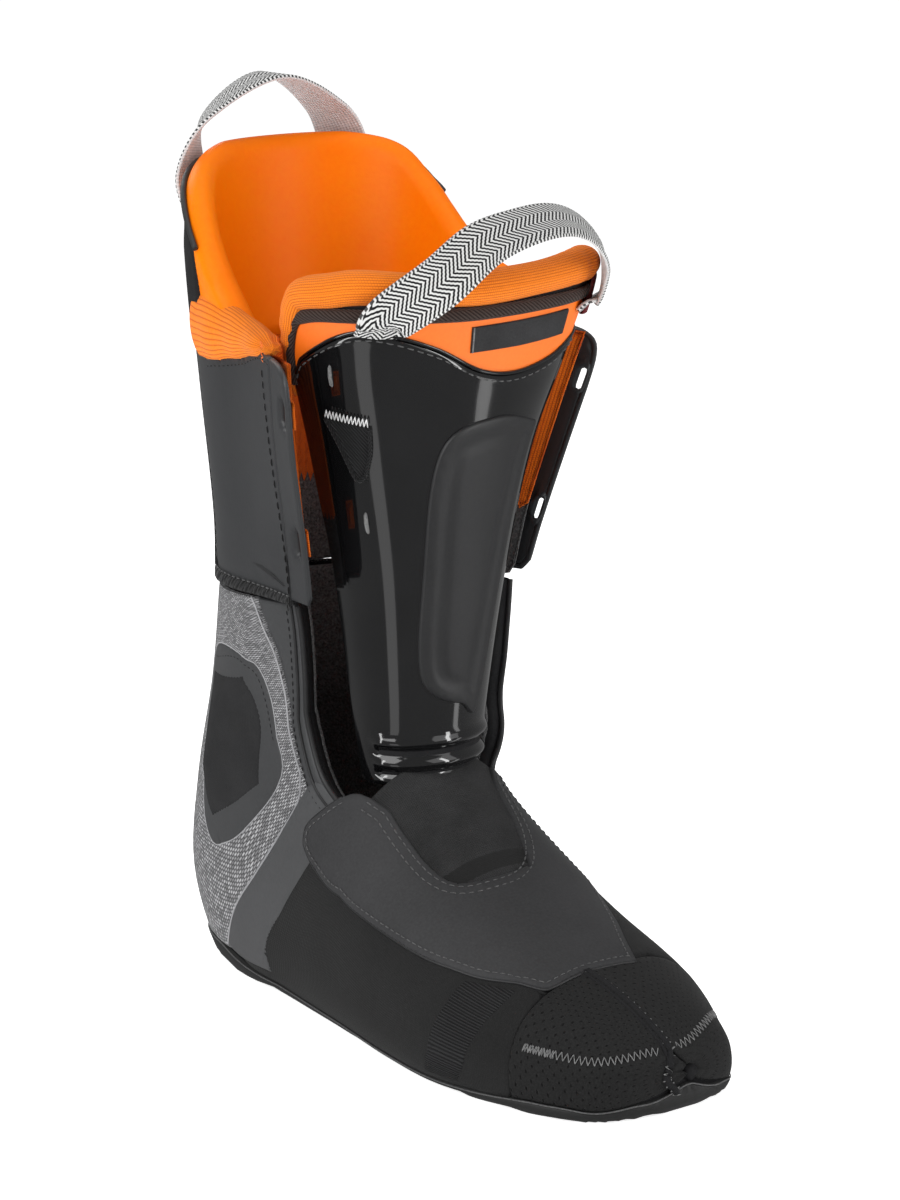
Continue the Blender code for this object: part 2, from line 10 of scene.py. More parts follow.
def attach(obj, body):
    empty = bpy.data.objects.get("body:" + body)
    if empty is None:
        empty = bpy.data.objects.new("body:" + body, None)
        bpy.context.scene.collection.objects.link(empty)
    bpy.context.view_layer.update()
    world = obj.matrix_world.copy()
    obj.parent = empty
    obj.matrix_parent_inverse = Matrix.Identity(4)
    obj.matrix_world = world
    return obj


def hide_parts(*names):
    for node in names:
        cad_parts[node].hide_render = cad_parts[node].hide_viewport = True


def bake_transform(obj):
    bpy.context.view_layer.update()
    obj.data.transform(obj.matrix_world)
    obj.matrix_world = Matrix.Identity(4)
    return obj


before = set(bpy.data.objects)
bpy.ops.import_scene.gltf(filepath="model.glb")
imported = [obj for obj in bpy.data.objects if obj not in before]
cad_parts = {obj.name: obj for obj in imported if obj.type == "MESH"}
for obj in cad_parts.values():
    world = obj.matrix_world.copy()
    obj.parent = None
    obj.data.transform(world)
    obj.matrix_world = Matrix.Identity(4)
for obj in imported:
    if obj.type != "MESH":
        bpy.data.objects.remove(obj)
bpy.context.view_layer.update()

# The liner's shape, in millimetres before CENTRE is added. f is the distance forward of the heel.
HEEL_Y = 142.5
SOLE_TOP = 2.3
CENTRE = np.array((-1.7, 2.1, -0.05))
SPLIT = 5 / 14
# u, rear or bottom (f, z), top or front (f, z), how deep it is widest, half widths lateral and medial,
# sideways shift, roundness of the rear and of the top
FOOT = np.array([
    (0.00, 286, 16, 286, 18, 0.50, 1, 1, 6, 2.0, 2.0),
    (0.03, 283, 3, 281, 27, 0.45, 25, 22, 6, 2.3, 2.2),
    (0.08, 271, -8, 268, 36, 0.42, 39, 33, 5, 2.7, 2.3),
    (0.16, 246, -8, 240, 47, 0.40, 49, 46, 3, 2.9, 2.3),
    (0.25, 210, -8, 205, 62, 0.38, 54, 51, 0, 2.9, 2.2),
    (0.34, 176, -8, 174, 80, 0.36, 54, 49, 0, 2.8, 2.2),
    (0.42, 138, -8, 152, 97, 0.38, 51, 46, 0, 2.75, 2.2),
    (0.48, 90, -10, 143, 110, 0.42, 46, 44, 0, 2.65, 2.3),
    (0.53, 35, -14, 139, 124, 0.46, 42, 44, 0, 2.4, 2.4),
    (0.58, 3, 18, 137, 138, 0.50, 40, 44, 0, 2.2, 2.6),
    (0.64, 7, 62, 136, 154, 0.52, 41, 45, 0, 2.2, 2.8),
    (0.71, 21, 112, 135, 164, 0.50, 42, 46, 0, 2.1, 2.9),
    (0.80, 30, 160, 133, 167, 0.50, 43, 47, 0, 2.1, 3.0),
])
# The throat's half width along the foot, as a share of the way round
THROAT = ((0, 0.42, 0.48, 0.6, 0.8), (0.22, 0.22, 0.28, 0.34, 0.37))
# z, back f, widest f, half widths lateral and medial, front edge (f, x) lateral and medial, back x
CUFF = np.array([
    (140, 27, 80, 43, 45, 124, 45, 124, 46, 0),
    (163, 30, 79, 43, 46, 132, 50, 134, 50, 0),
    (190, 32, 78, 45, 48, 137, 56, 139, 56, 2),
    (240, 27, 76, 50, 54, 146, 69, 148, 70, 5),
    (290, 18, 74, 53, 62, 156, 78, 158, 84, 9),
    (335, 9, 72, 52, 70, 162, 84, 162, 92, 13),
])
# The cuff's bottom and rim: heights at each |v|
CUFF_BASE = ((0, 0.5, 0.84, 1), (161, 164.4, 166.8, 168))
RIM = ((0, 0.3, 0.42, 0.52, 0.65, 0.8, 1), (332, 332, 322, 308, 292, 282, 274))
SEAM = 0.84  # |v| of the stitched seam that the flaps fold on
# z, front f, half widths lateral and medial, edge f lateral and medial
TONGUE = np.array([
    (100, 152, 25, 27, 130, 130),
    (130, 155, 28, 30, 128, 130),
    (180, 160, 34, 37, 128, 133),
    (225, 165, 43, 46, 127, 139),
    (260, 170, 51, 58, 127, 146),
    (285, 173, 54, 66, 128, 150),
    (305, 172, 55, 69, 129, 152),
])
TONGUE_Z = (104.5, 300)


def hermite(table, x):
    """A smooth curve through the rows of a table, whose first column is x."""
    last = len(table) - 2
    i = int(np.clip(np.searchsorted(table[:, 0], x, side="right") - 1, 0, last))
    h = table[i + 1, 0] - table[i, 0]
    t = (x - table[i, 0]) / h

    def slope(k):
        low, high = max(k - 1, 0), min(k + 1, last + 1)
        return (table[high] - table[low]) / (table[high, 0] - table[low, 0]) * h

    return ((2 * t**3 - 3 * t**2 + 1) * table[i] + (t**3 - 2 * t**2 + t) * slope(i)
            + (3 * t**2 - 2 * t**3) * table[i + 1] + (t**3 - t**2) * slope(i + 1))[1:]


def smooth(x, low, high):
    """0 below low, 1 above high."""
    k = np.clip((x - low) / (high - low), 0, 1)
    return k * k * (3 - 2 * k)


def foot_point(u, s):
    """s is 0 at the top or front, -1 lateral and +1 medial round to the bottom or back."""
    rear_f, rear_z, top_f, top_z, split, lateral, medial, shift, n_rear, n_top = hermite(FOOT, u)
    s = (s + 1) % 2 - 1
    throat = np.interp(u, *THROAT)
    a = abs(s)
    w = throat * a / SPLIT if a <= SPLIT else throat + (1 - throat) * (a - SPLIT) / (1 - SPLIT)
    around = (1 - w) * math.pi
    if w >= 0.5:
        x = abs(math.sin(around)) ** (2 / n_rear)
        d = split - abs(math.cos(around)) ** (2 / n_rear) * split
    else:
        x = abs(math.sin(around)) ** (2 / n_top)
        d = split + abs(math.cos(around)) ** (2 / n_top) * (1 - split)
    side = -lateral if s < 0 else medial
    f = rear_f + (top_f - rear_f) * d
    z = rear_z + (top_z - rear_z) * d
    flare = smooth(s, 0.21, 0.32) * smooth(-s, -0.5, -SPLIT) * smooth(u, 0.47, 0.57)
    return shift + side * x + 5 * flare, HEEL_Y - f - 17 * flare, max(z, SOLE_TOP)


def cuff_point(t, v):
    """t runs from the cuff's bottom edge to its rim, v from one front edge round the back."""
    a = abs(v)
    low, high = np.interp(a, *CUFF_BASE), np.interp(a, *RIM)
    z = low + t * (high - low)
    back, wide, lateral, medial, front_l, edge_l, front_m, edge_m, back_x = hermite(CUFF, z)
    side, width = (-1, lateral) if v < 0 else (1, medial)
    front, edge = (front_l, edge_l) if v < 0 else (front_m, edge_m)
    if a <= 0.5:
        x = side * width * math.sin(a * math.pi) ** 0.93 + back_x * (1 - 2 * a)
        f = wide - (wide - back) * abs(math.cos(a * math.pi)) ** 0.93
    else:
        k = 2 * a - 1
        x = side * (width + (edge - width) * (1.6 * k**2 - 0.6 * k**3))
        f = wide + (front - wide) * k
    return x, HEEL_Y - f, z


def tongue_point(t, s):
    """t runs up the tongue, s from its lateral edge round the shin to its medial edge."""
    z = TONGUE_Z[0] + t * (TONGUE_Z[1] - TONGUE_Z[0])
    front, lateral, medial, edge_l, edge_m = hermite(TONGUE, z)
    edge = edge_l if s < 0 else edge_m
    around = s * math.pi / 2
    x = (lateral if s < 0 else medial) * math.sin(np.clip(around, -math.pi / 2, math.pi / 2))
    f = edge + (front - edge) * max(math.cos(around), 0) ** 0.9
    f -= max(abs(s) - 1, 0) * np.interp(t, (0, 0.5), (14, 32))
    return x, HEEL_Y - f, z


def unit(vectors):
    """Each vector at length 1."""
    return vectors / np.maximum(np.linalg.norm(vectors, axis=-1, keepdims=True), 1e-9)


class Skin:
    """A smooth surface kept as a fine table of points and outward normals."""

    def __init__(self, point, rows, cols, outward=1, ring=False):
        self.rows, self.cols, self.ring = np.array(rows), np.array(cols), ring
        self.points = np.array([[point(u, v) for v in cols] for u in rows]) + CENTRE
        up = np.gradient(self.points, axis=0)
        across = np.gradient(self.points, axis=1)
        if ring:
            across[:, 0] = across[:, -1] = self.points[:, 1] - self.points[:, -2]
        self.normals = unit(np.cross(across, up) * outward)

    def at(self, u, v, d=0.0):
        """Points at surface coordinates, moved out by d. All three may be arrays."""
        u, v = np.asarray(u, float), np.asarray(v, float)
        if self.ring:
            v = (v + 1) % 2 - 1
        a = np.clip(np.interp(u, self.rows, np.arange(len(self.rows))), 0, len(self.rows) - 1.001)
        b = np.clip(np.interp(v, self.cols, np.arange(len(self.cols))), 0, len(self.cols) - 1.001)
        i, j = a.astype(int), b.astype(int)
        fa, fb = (a - i)[..., None], (b - j)[..., None]

        def mix(table):
            return ((table[i, j] * (1 - fa) + table[i + 1, j] * fa) * (1 - fb)
                    + (table[i, j + 1] * (1 - fa) + table[i + 1, j + 1] * fa) * fb)

        return mix(self.points) + unit(mix(self.normals)) * np.asarray(d, float)[..., None]

    def normal(self, u, v):
        return self.at(u, v, 1.0) - self.at(u, v)

    def shift(self, u, v, move):
        """The change in surface coordinates that moves a point by about the vector move."""
        eps = 1e-3
        by_u = (self.at(np.asarray(u) + eps, v) - self.at(np.asarray(u) - eps, v)) / (2 * eps)
        by_v = (self.at(u, np.asarray(v) + eps) - self.at(u, np.asarray(v) - eps)) / (2 * eps)
        uu, vv, uv = (by_u**2).sum(-1), (by_v**2).sum(-1), (by_u * by_v).sum(-1)
        mu, mv = (by_u * move).sum(-1), (by_v * move).sum(-1)
        det = np.maximum(uu * vv - uv**2, 1e-6)
        return (mu * vv - mv * uv) / det, (mv * uu - mu * uv) / det


foot = Skin(foot_point, np.linspace(0, 0.8, 241), np.linspace(-1, 1, 241), ring=True)
cuff = Skin(cuff_point, np.linspace(0, 1, 121), np.linspace(-1, 1, 241), outward=-1)
tongue = Skin(tongue_point, np.linspace(-0.06, 1, 128), np.linspace(-1.3, 1.3, 211))


def cuff_t(z, v):
    """The cuff coordinate of a height in millimetres."""
    low = np.interp(np.abs(v), *CUFF_BASE)
    return (z - low) / (np.interp(np.abs(v), *RIM) - low)


def mirrored(outline):
    """The same outline on the other side."""
    return [(u, -s) for u, s in outline]


def bell(x, middle, width):
    """1 at the middle, and near 0 two widths from it."""
    return np.exp(-((x - middle) / width) ** 2)


# Materials ------------------------------------------------------------------------------------

def rgba(colour):
    """A colour with its alpha. A single number is a grey."""
    return (colour, colour, colour, 1) if isinstance(colour, float) else (*colour, 1)


class Nodes:
    """Short names for building one material's nodes."""

    def __init__(self, name, roughness=0.8, **constants):
        self.material = bpy.data.materials.new(name)
        self.material.use_nodes = True
        self.tree = self.material.node_tree
        self.shader = self.tree.nodes["Principled BSDF"]
        self.shader.inputs["Roughness"].default_value = roughness
        self.shader.inputs["Specular IOR Level"].default_value = 0.5 if roughness < 0.55 else 0.22
        for key, value in constants.items():
            self.shader.inputs[key.replace("_", " ")].default_value = value

    def node(self, kind, inputs=None, **settings):
        made = self.tree.nodes.new("ShaderNode" + kind)
        for key, value in settings.items():
            setattr(made, key, value)
        for key, value in (inputs or {}).items():
            if isinstance(value, bpy.types.NodeSocket):
                self.tree.links.new(value, made.inputs[key])
            else:
                made.inputs[key].default_value = value
        return made

    def math(self, operation, *values):
        return self.node("Math", dict(enumerate(values)), operation=operation).outputs[0]

    def weigh(self, *parts):
        """The sum of values, each given with its weight."""
        total = None
        for value, weight in parts:
            part = self.math("MULTIPLY", value, weight)
            total = part if total is None else self.math("ADD", total, part)
        return total

    def step(self, value, low, high):
        """0 below low and 1 above high."""
        return self.node("MapRange", {"Value": value, "From Min": low, "From Max": high}).outputs[0]

    def coords(self, kind="Object"):
        return self.node("TexCoord").outputs[kind]

    def noise(self, scale, detail=3.0):
        return self.node("TexNoise", {"Vector": self.coords(), "Scale": scale, "Detail": detail,
                                      "Roughness": 0.55}).outputs["Fac"]

    def ramp(self, value, stops):
        made = self.node("ValToRGB", {"Fac": value})
        while len(made.color_ramp.elements) < len(stops):
            made.color_ramp.elements.new(0.5)
        for element, (at, colour) in zip(made.color_ramp.elements, stops):
            element.position = at
            element.color = rgba(colour)
        return made.outputs["Color"]

    def mix(self, factor, a, b):
        made = self.node("Mix", {"Factor": factor}, data_type="RGBA")
        for target, value in zip([x for x in made.inputs if x.type == "RGBA"], (a, b)):
            if isinstance(value, bpy.types.NodeSocket):
                self.tree.links.new(value, target)
            else:
                target.default_value = rgba(value)
        return [x for x in made.outputs if x.type == "RGBA"][0]

    def colour(self, value):
        self.tree.links.new(value, self.shader.inputs["Base Color"])

    def roughness(self, value, low, high):
        made = self.node("MapRange", {"Value": value, "To Min": low, "To Max": high})
        self.tree.links.new(made.outputs[0], self.shader.inputs["Roughness"])

    def bump(self, *layers):
        """Layers of (height, distance in millimetres), each laid over the one before."""
        normal = None
        for height, distance in layers:
            inputs = {"Height": height, "Distance": distance * 0.001, "Strength": 1.0}
            if normal is not None:
                inputs["Normal"] = normal
            normal = self.node("Bump", inputs).outputs["Normal"]
        self.tree.links.new(normal, self.shader.inputs["Normal"])


def ridge(n, value, per_m, sharp=1.0):
    """0..1 sine of a socket that runs in metres."""
    sine = n.math("SINE", n.math("MULTIPLY", value, per_m * 2 * math.pi))
    made = n.math("MULTIPLY_ADD", sine, 0.5, 0.5)
    return n.math("POWER", made, sharp) if sharp != 1 else made


def dome(n, value):
    """1 in the middle of a cell, where value is 0, and 0 at its ends."""
    return n.math("MULTIPLY", n.math("SUBTRACT", 0.25, n.math("MULTIPLY", value, value)), 4.0)


def fine_cells(n, x, y, wide, tall, stagger=0.5):
    """Position inside staggered cells of wide x tall metres, each -0.5..0.5, and the cell's row."""
    row = n.math("FLOOR", n.math("DIVIDE", y, tall))
    moved = n.math("ADD", n.math("DIVIDE", x, wide), n.math("MULTIPLY", row, stagger))
    across = n.math("SUBTRACT", n.math("FRACT", moved), 0.5)
    up = n.math("SUBTRACT", n.math("FRACT", n.math("DIVIDE", y, tall)), 0.5)
    return across, up, n.math("FLOOR", moved), row


def uv_of(n):
    """The two surface lengths in metres: up the piece, and round it."""
    split = n.node("SeparateXYZ", {"Vector": n.coords("UV")})
    return split.outputs[0], split.outputs[1]


def plain_fabric(name, dark, light, roughness, thread, bump, ribs=None):
    """A fine plain weave or knit. ribs is a pitch in metres of ribs that run up the piece."""
    n = Nodes(name, roughness)
    up, round_ = uv_of(n)
    weave = n.math("MULTIPLY", ridge(n, up, 1 / thread), ridge(n, round_, 1 / thread))
    cloud = n.noise(60, 4)
    grain = n.noise(1800, 2)
    tone = n.weigh((cloud, 0.55), (grain, 0.45))
    height = [(weave, bump), (grain, bump * 0.7)]
    if ribs:
        rib = ridge(n, round_, 1 / ribs, 0.7)
        tone = n.weigh((tone, 0.45), (rib, 0.5))
        height.append((rib, ribs * 350))
    n.colour(n.ramp(tone, [(0.25, dark), (0.75, light)]))
    n.bump(*height)
    return n.material


def fleece():
    n = Nodes("black_fleece", 1.0, Sheen_Weight=0.12, Sheen_Roughness=0.7)
    tufts = n.noise(1100, 3)
    n.colour(n.ramp(tufts, [(0.3, 0.018), (0.75, (0.13, 0.13, 0.132))]))
    n.bump((n.noise(260, 3), 0.5), (tufts, 0.6))
    return n.material


def neoprene():
    n = Nodes("black_neoprene_jersey", 0.82, Sheen_Weight=0.04, Sheen_Roughness=0.5)
    up, round_ = uv_of(n)
    knit = n.math("MULTIPLY", ridge(n, up, 1400), ridge(n, round_, 1100))
    tone = n.weigh((n.noise(1500, 2), 0.6), (n.noise(30, 3), 0.4))
    n.colour(n.ramp(tone, [(0.3, 0.008), (0.7, 0.016)]))
    n.bump((n.noise(1500, 2), 0.08), (knit, 0.08))
    return n.material


def perforated():
    n = Nodes("black_perforated_fabric", 0.75, Sheen_Weight=0.04, Sheen_Roughness=0.5)
    up, round_ = uv_of(n)
    across, along, _, _ = fine_cells(n, round_, up, 0.0042, 0.0028)
    far = n.math("SQRT", n.math("ADD", n.math("POWER", n.math("MULTIPLY", across, 4.2), 2),
                                n.math("POWER", n.math("MULTIPLY", along, 2.8), 2)))
    solid = n.step(far, 0.35, 0.62)
    grain = n.noise(1500, 2)
    cloth = n.ramp(grain, [(0.3, 0.006), (0.7, 0.014)])
    n.colour(n.mix(solid, 0.001, cloth))
    n.bump((grain, 0.08), (solid, 0.5))
    return n.material


def microfibre():
    n = Nodes("charcoal_microfibre", 0.6, Sheen_Weight=0.03, Sheen_Roughness=0.4)
    tone = n.weigh((n.noise(900, 3), 0.4), (n.noise(18, 3), 0.6))
    n.colour(n.ramp(tone, [(0.3, (0.026, 0.026, 0.027)), (0.7, (0.045, 0.045, 0.047))]))
    n.roughness(n.noise(40, 3), 0.5, 0.7)
    n.bump((n.noise(1400, 2), 0.05), (n.noise(90, 2), 0.12))
    return n.material


def grey_woven():
    """Light slanting threads floated over a dark ground."""
    n = Nodes("grey_woven_textile", 0.72, Sheen_Weight=0.04, Sheen_Roughness=0.4)
    up, round_ = uv_of(n)
    lean = n.math("ADD", round_, n.math("MULTIPLY", up, 0.45))
    across, along, column, row = fine_cells(n, lean, up, 0.0023, 0.00105, 0.42)
    thread = n.math("MULTIPLY", n.math("POWER", dome(n, along), 0.6), n.math("POWER", dome(n, across), 0.8))
    cell = n.node("CombineXYZ", {0: column, 1: row}).outputs[0]
    vary = n.node("TexWhiteNoise", {"Vector": cell}, noise_dimensions="3D").outputs["Value"]
    shade = n.math("MULTIPLY_ADD", vary, 0.55, 0.45)
    n.colour(n.ramp(n.math("MULTIPLY", thread, shade),
                    [(0.1, (0.055, 0.055, 0.057)), (0.45, (0.17, 0.17, 0.175)), (0.85, (0.42, 0.42, 0.43))]))
    n.bump((thread, 0.25), (n.noise(1500, 2), 0.04))
    return n.material


def coated(name, dark, light, low, high, grain=0.03):
    """A smooth coated fabric or film, with faint grain and uneven gloss."""
    n = Nodes(name, low)
    tone = n.weigh((n.noise(700, 3), 0.35), (n.noise(14, 3), 0.65))
    n.colour(n.ramp(tone, [(0.3, dark), (0.7, light)]))
    n.roughness(n.noise(35, 4), low, high)
    n.bump((n.noise(1100, 2), grain), (n.noise(55, 2), grain * 3))
    return n.material


def orange_foam():
    n = Nodes("orange_moulded_foam", 0.5, Subsurface_Weight=0.12, Subsurface_Scale=0.01)
    n.shader.inputs["Specular IOR Level"].default_value = 0.12
    grain = n.noise(420, 4)
    tone = n.weigh((grain, 0.35), (n.noise(16, 3), 0.65))
    n.colour(n.ramp(tone, [(0.3, (0.98, 0.170, 0.0)), (0.7, (1.0, 0.225, 0.0))]))
    n.roughness(n.noise(60, 3), 0.36, 0.52)
    n.bump((grain, 0.12), (n.noise(1500, 2), 0.04))
    return n.material


def ribbed_knit(name, dark, light, pitch):
    """Rows of small slanting stitches in ribs."""
    n = Nodes(name, 0.85, Sheen_Weight=0.06, Sheen_Roughness=0.45)
    up, round_ = uv_of(n)
    across, along, _, row = fine_cells(n, up, round_, 0.0009, pitch, 0.5)
    loop = n.math("MULTIPLY", n.math("POWER", dome(n, along), 0.7), n.math("POWER", dome(n, across), 0.35))
    tone = n.weigh((loop, 0.75), (n.noise(70, 4), 0.25))
    n.colour(n.ramp(tone, [(0.15, dark), (0.7, light)]))
    n.bump((loop, 0.28), (n.noise(1300, 2), 0.06))
    return n.material


def gloss_shell():
    n = Nodes("gloss_black_plastic", 0.07, Specular_IOR_Level=0.6, Coat_Weight=0.5, Coat_Roughness=0.03)
    n.colour(n.ramp(n.noise(25, 3), [(0.3, (0.0025, 0.0025, 0.0028)), (0.7, (0.005, 0.005, 0.0055))]))
    n.roughness(n.noise(80, 5), 0.05, 0.13)
    n.bump((n.noise(28, 1), 0.10), (n.noise(2200, 2), 0.004))
    return n.material


def herringbone():
    """Black and white yarn in three columns of chevrons, with pale selvedges."""
    n = Nodes("herringbone_webbing", 0.7, Sheen_Weight=0.15, Sheen_Roughness=0.4)
    along, across = uv_of(n)
    column = n.math("FRACT", n.math("DIVIDE", across, 0.0092))
    slope = n.math("ABSOLUTE", n.math("SUBTRACT", column, 0.5))
    phase = n.math("ADD", n.math("DIVIDE", along, 0.0020), n.math("MULTIPLY", slope, 4.2))
    stripe = ridge(n, phase, 1)
    rows = ridge(n, across, 1 / 0.0011)
    raised = n.math("ADD", stripe, n.math("MULTIPLY", n.math("SUBTRACT", rows, 0.5), 0.28))
    yarn = n.step(raised, 0.44, 0.56)
    selvedge = n.step(n.math("ABSOLUTE", n.math("SUBTRACT", across, 0.010)), 0.0090, 0.0093)
    colour = n.mix(yarn, (0.012, 0.012, 0.013), (0.66, 0.66, 0.65))
    dashes = n.step(ridge(n, along, 1 / 0.0016), 0.5, 0.6)
    n.colour(n.mix(selvedge, colour, n.mix(dashes, 0.05, (0.7, 0.7, 0.69))))
    n.bump((stripe, 0.14), (rows, 0.12), (n.noise(1500, 2), 0.05))
    return n.material


def pale_webbing():
    n = Nodes("webbing_inside", 0.85, Sheen_Weight=0.2, Sheen_Roughness=0.4)
    along, across = uv_of(n)
    rows = ridge(n, across, 1 / 0.0013)
    picks = ridge(n, along, 1 / 0.0011)
    tone = n.weigh((rows, 0.3), (picks, 0.25), (n.noise(500, 2), 0.45))
    n.colour(n.ramp(tone, [(0.2, (0.40, 0.40, 0.41)), (0.7, 0.72)]))
    n.bump((rows, 0.12), (picks, 0.1))
    return n.material


def twill(name, dark, light, pitch=0.0016):
    """Fine slanting ribs, as on binding tape."""
    n = Nodes(name, 0.75, Sheen_Weight=0.1, Sheen_Roughness=0.4)
    up, round_ = uv_of(n)
    rib = ridge(n, n.math("ADD", round_, n.math("MULTIPLY", up, 0.8)), 1 / pitch, 0.8)
    tone = n.weigh((rib, 0.7), (n.noise(900, 2), 0.3))
    n.colour(n.ramp(tone, [(0.2, dark), (0.8, light)]))
    n.bump((rib, 0.22), (n.noise(1500, 2), 0.04))
    return n.material


def thread(name, dark, light):
    n = Nodes(name, 0.55, Sheen_Weight=0.1)
    n.colour(n.ramp(n.noise(1300, 2), [(0.3, dark), (0.7, light)]))
    n.bump((n.noise(3000, 2), 0.03))
    return n.material


BLACK_FLEECE = fleece()
NEOPRENE = neoprene()
PERFORATED = perforated()
MICROFIBRE = microfibre()
WOVEN = grey_woven()
STRETCH = plain_fabric("black_stretch_mesh", 0.012, (0.042, 0.042, 0.043), 0.85, 0.0009, 0.2)
ELASTIC = plain_fabric("ribbed_elastic", 0.006, (0.026, 0.026, 0.027), 0.8, 0.0008, 0.1,
                       ribs=0.0012)
PAD_FABRIC = plain_fabric("pad_fabric", (0.013, 0.013, 0.014), (0.027, 0.027, 0.028), 0.75, 0.0008, 0.08)
PANEL_FABRIC = plain_fabric("black_panel_fabric", (0.008, 0.008, 0.009), (0.018, 0.018, 0.019), 0.8, 0.0009,
                            0.12)
FILM_GREY = coated("grey_film", (0.050, 0.051, 0.053), (0.075, 0.076, 0.079), 0.34, 0.5)
FILM_DARK = coated("dark_film", (0.034, 0.035, 0.037), (0.050, 0.051, 0.053), 0.34, 0.5)
CUFF_PU = coated("charcoal_pu", (0.024, 0.025, 0.027), (0.034, 0.035, 0.037), 0.36, 0.5, 0.025)
PIPING = coated("black_piping", (0.010, 0.010, 0.011), (0.022, 0.022, 0.023), 0.4, 0.6)
# Pale grey painted highlight for the raised edges of the films
EDGE_HIGHLIGHT = coated("painted_edge_highlight", (0.20, 0.20, 0.21), (0.36, 0.36, 0.37), 0.45, 0.6)
RUBBER = coated("black_rubber", 0.010, 0.018, 0.5, 0.7, 0.06)
SHIN_PU = coated("matte_shin_plate", (0.013, 0.013, 0.014), (0.021, 0.021, 0.022), 0.42, 0.55, 0.02)
FOAM = orange_foam()
COVER_ORANGE = coated("orange_cover", (0.93, 0.155, 0.002), (0.98, 0.20, 0.006), 0.45, 0.6, 0.03)
KNIT = ribbed_knit("orange_ribbed_knit", (0.55, 0.085, 0.002), (0.93, 0.235, 0.012), 0.00115)
RUST = ribbed_knit("rust_ribbed_lining", (0.36, 0.045, 0.001), (0.80, 0.150, 0.005), 0.0019)
GLOSS = gloss_shell()
HERRINGBONE = herringbone()
WEBBING_INSIDE = pale_webbing()
BINDING = twill("dark_binding_tape", (0.016, 0.008, 0.006), (0.058, 0.040, 0.034))
HEM_TAPE = twill("hem_tape", 0.008, (0.022, 0.022, 0.023), 0.0022)
LABEL = plain_fabric("woven_label", (0.018, 0.018, 0.019), (0.045, 0.045, 0.047), 0.6, 0.0005, 0.06)
KEEPER = twill("keeper_webbing", 0.005, (0.016, 0.016, 0.017), 0.0014)
MAROON = coated("maroon_tab", (0.10, 0.008, 0.009), (0.16, 0.014, 0.016), 0.25, 0.4)
DARK_THREAD = thread("dark_thread", 0.006, 0.014)
GREY_THREAD = thread("grey_thread", 0.10, 0.24)
SOFT_THREAD = thread("charcoal_thread", (0.055, 0.055, 0.056), 0.12)
WHITE_THREAD = thread("white_thread", 0.5, 0.8)
ORANGE_THREAD = thread("orange_thread", (0.7, 0.10, 0.002), (0.9, 0.2, 0.01))


# Mesh builders --------------------------------------------------------------------------------

def from_arrays(name, points, faces, material, body="liner", uv=None, turn=0.0):
    """A mesh from points in millimetres. uv is one pair to a point, and turn is the length round
    a closed tube, so that its last strip ends at turn and not back at 0."""
    data = bpy.data.meshes.new(name)
    data.from_pydata((np.asarray(points, float) * 0.001).tolist(), [], faces)
    data.polygons.foreach_set("use_smooth", [True] * len(data.polygons))
    if uv is not None:
        layer = data.uv_layers.new(name="UVMap")
        index = np.zeros(len(data.loops), int)
        data.loops.foreach_get("vertex_index", index)
        spread = np.asarray(uv, float)[index]
        if turn:
            for face in data.polygons:
                run = spread[face.loop_start:face.loop_start + face.loop_total, 1]
                if face.loop_total == 4 and np.ptp(run) > turn / 2:
                    run[run < turn / 2] += turn
        layer.data.foreach_set("uv", spread.ravel())
    data.update()
    obj = bpy.data.objects.new(name, data)
    bpy.context.scene.collection.objects.link(obj)
    data.materials.append(material)
    if body:
        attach(obj, body)
    return obj


def strip_faces(rows, cols, wrap_rows=False, wrap_cols=False):
    """Quads of a grid of rows x cols points."""
    faces = []
    for i in range(rows if wrap_rows else rows - 1):
        for j in range(cols if wrap_cols else cols - 1):
            k, m = (i + 1) % rows, (j + 1) % cols
            faces.append((i * cols + j, i * cols + m, k * cols + m, k * cols + j))
    return faces


def lengths(points):
    """Running length along the first axis of a grid of points."""
    steps = np.linalg.norm(np.diff(points, axis=0), axis=-1)
    return np.concatenate([np.zeros((1, *steps.shape[1:])), np.cumsum(steps, axis=0)])


def spline(points, step=1.0, closed=False, corners=()):
    """Catmull-Rom points through a polyline, evenly about step apart. Corners stay sharp."""
    points = np.asarray(points, float)
    count = len(points)
    out = []
    for k in range(count if closed else count - 1):
        p1, p2 = points[k], points[(k + 1) % count]
        p0 = points[k - 1] if (k or closed) and k not in corners else 2 * p1 - p2
        nxt = (k + 1) % count
        p3 = points[(k + 2) % count] if (closed or k + 2 < count) and nxt not in corners \
            else 2 * p2 - p1
        steps = max(1, int(np.linalg.norm(p2 - p1) / step + 0.5))
        for t in np.arange(steps) / steps:
            out.append(0.5 * (2 * p1 + (p2 - p0) * t + (2 * p0 - 5 * p1 + 4 * p2 - p3) * t**2
                              + (3 * p1 - p0 - 3 * p2 + p3) * t**3))
    if not closed:
        out.append(points[-1])
    return np.array(out)


def on_skin(skin, path, step=2.0, closed=False, corners=()):
    """Surface coordinates along a smooth path through (u, v) points, evenly spaced in mm."""
    fine = spline(path, 0.01, closed, corners)
    if closed:
        fine = np.vstack([fine, fine[:1]])
    run = lengths(skin.at(*fine.T))
    count = max(2, int(run[-1] / step + 0.5))
    at = np.linspace(0, run[-1], count + 1)
    if corners:
        marks = [run[np.argmin(((fine - np.asarray(path[c])) ** 2).sum(1))] for c in corners]
        for mark in marks:
            at[np.argmin(abs(at - mark))] = mark
    found = np.stack([np.interp(at, run, fine[:, 0]), np.interp(at, run, fine[:, 1])], 1)
    return found[:-1] if closed else found


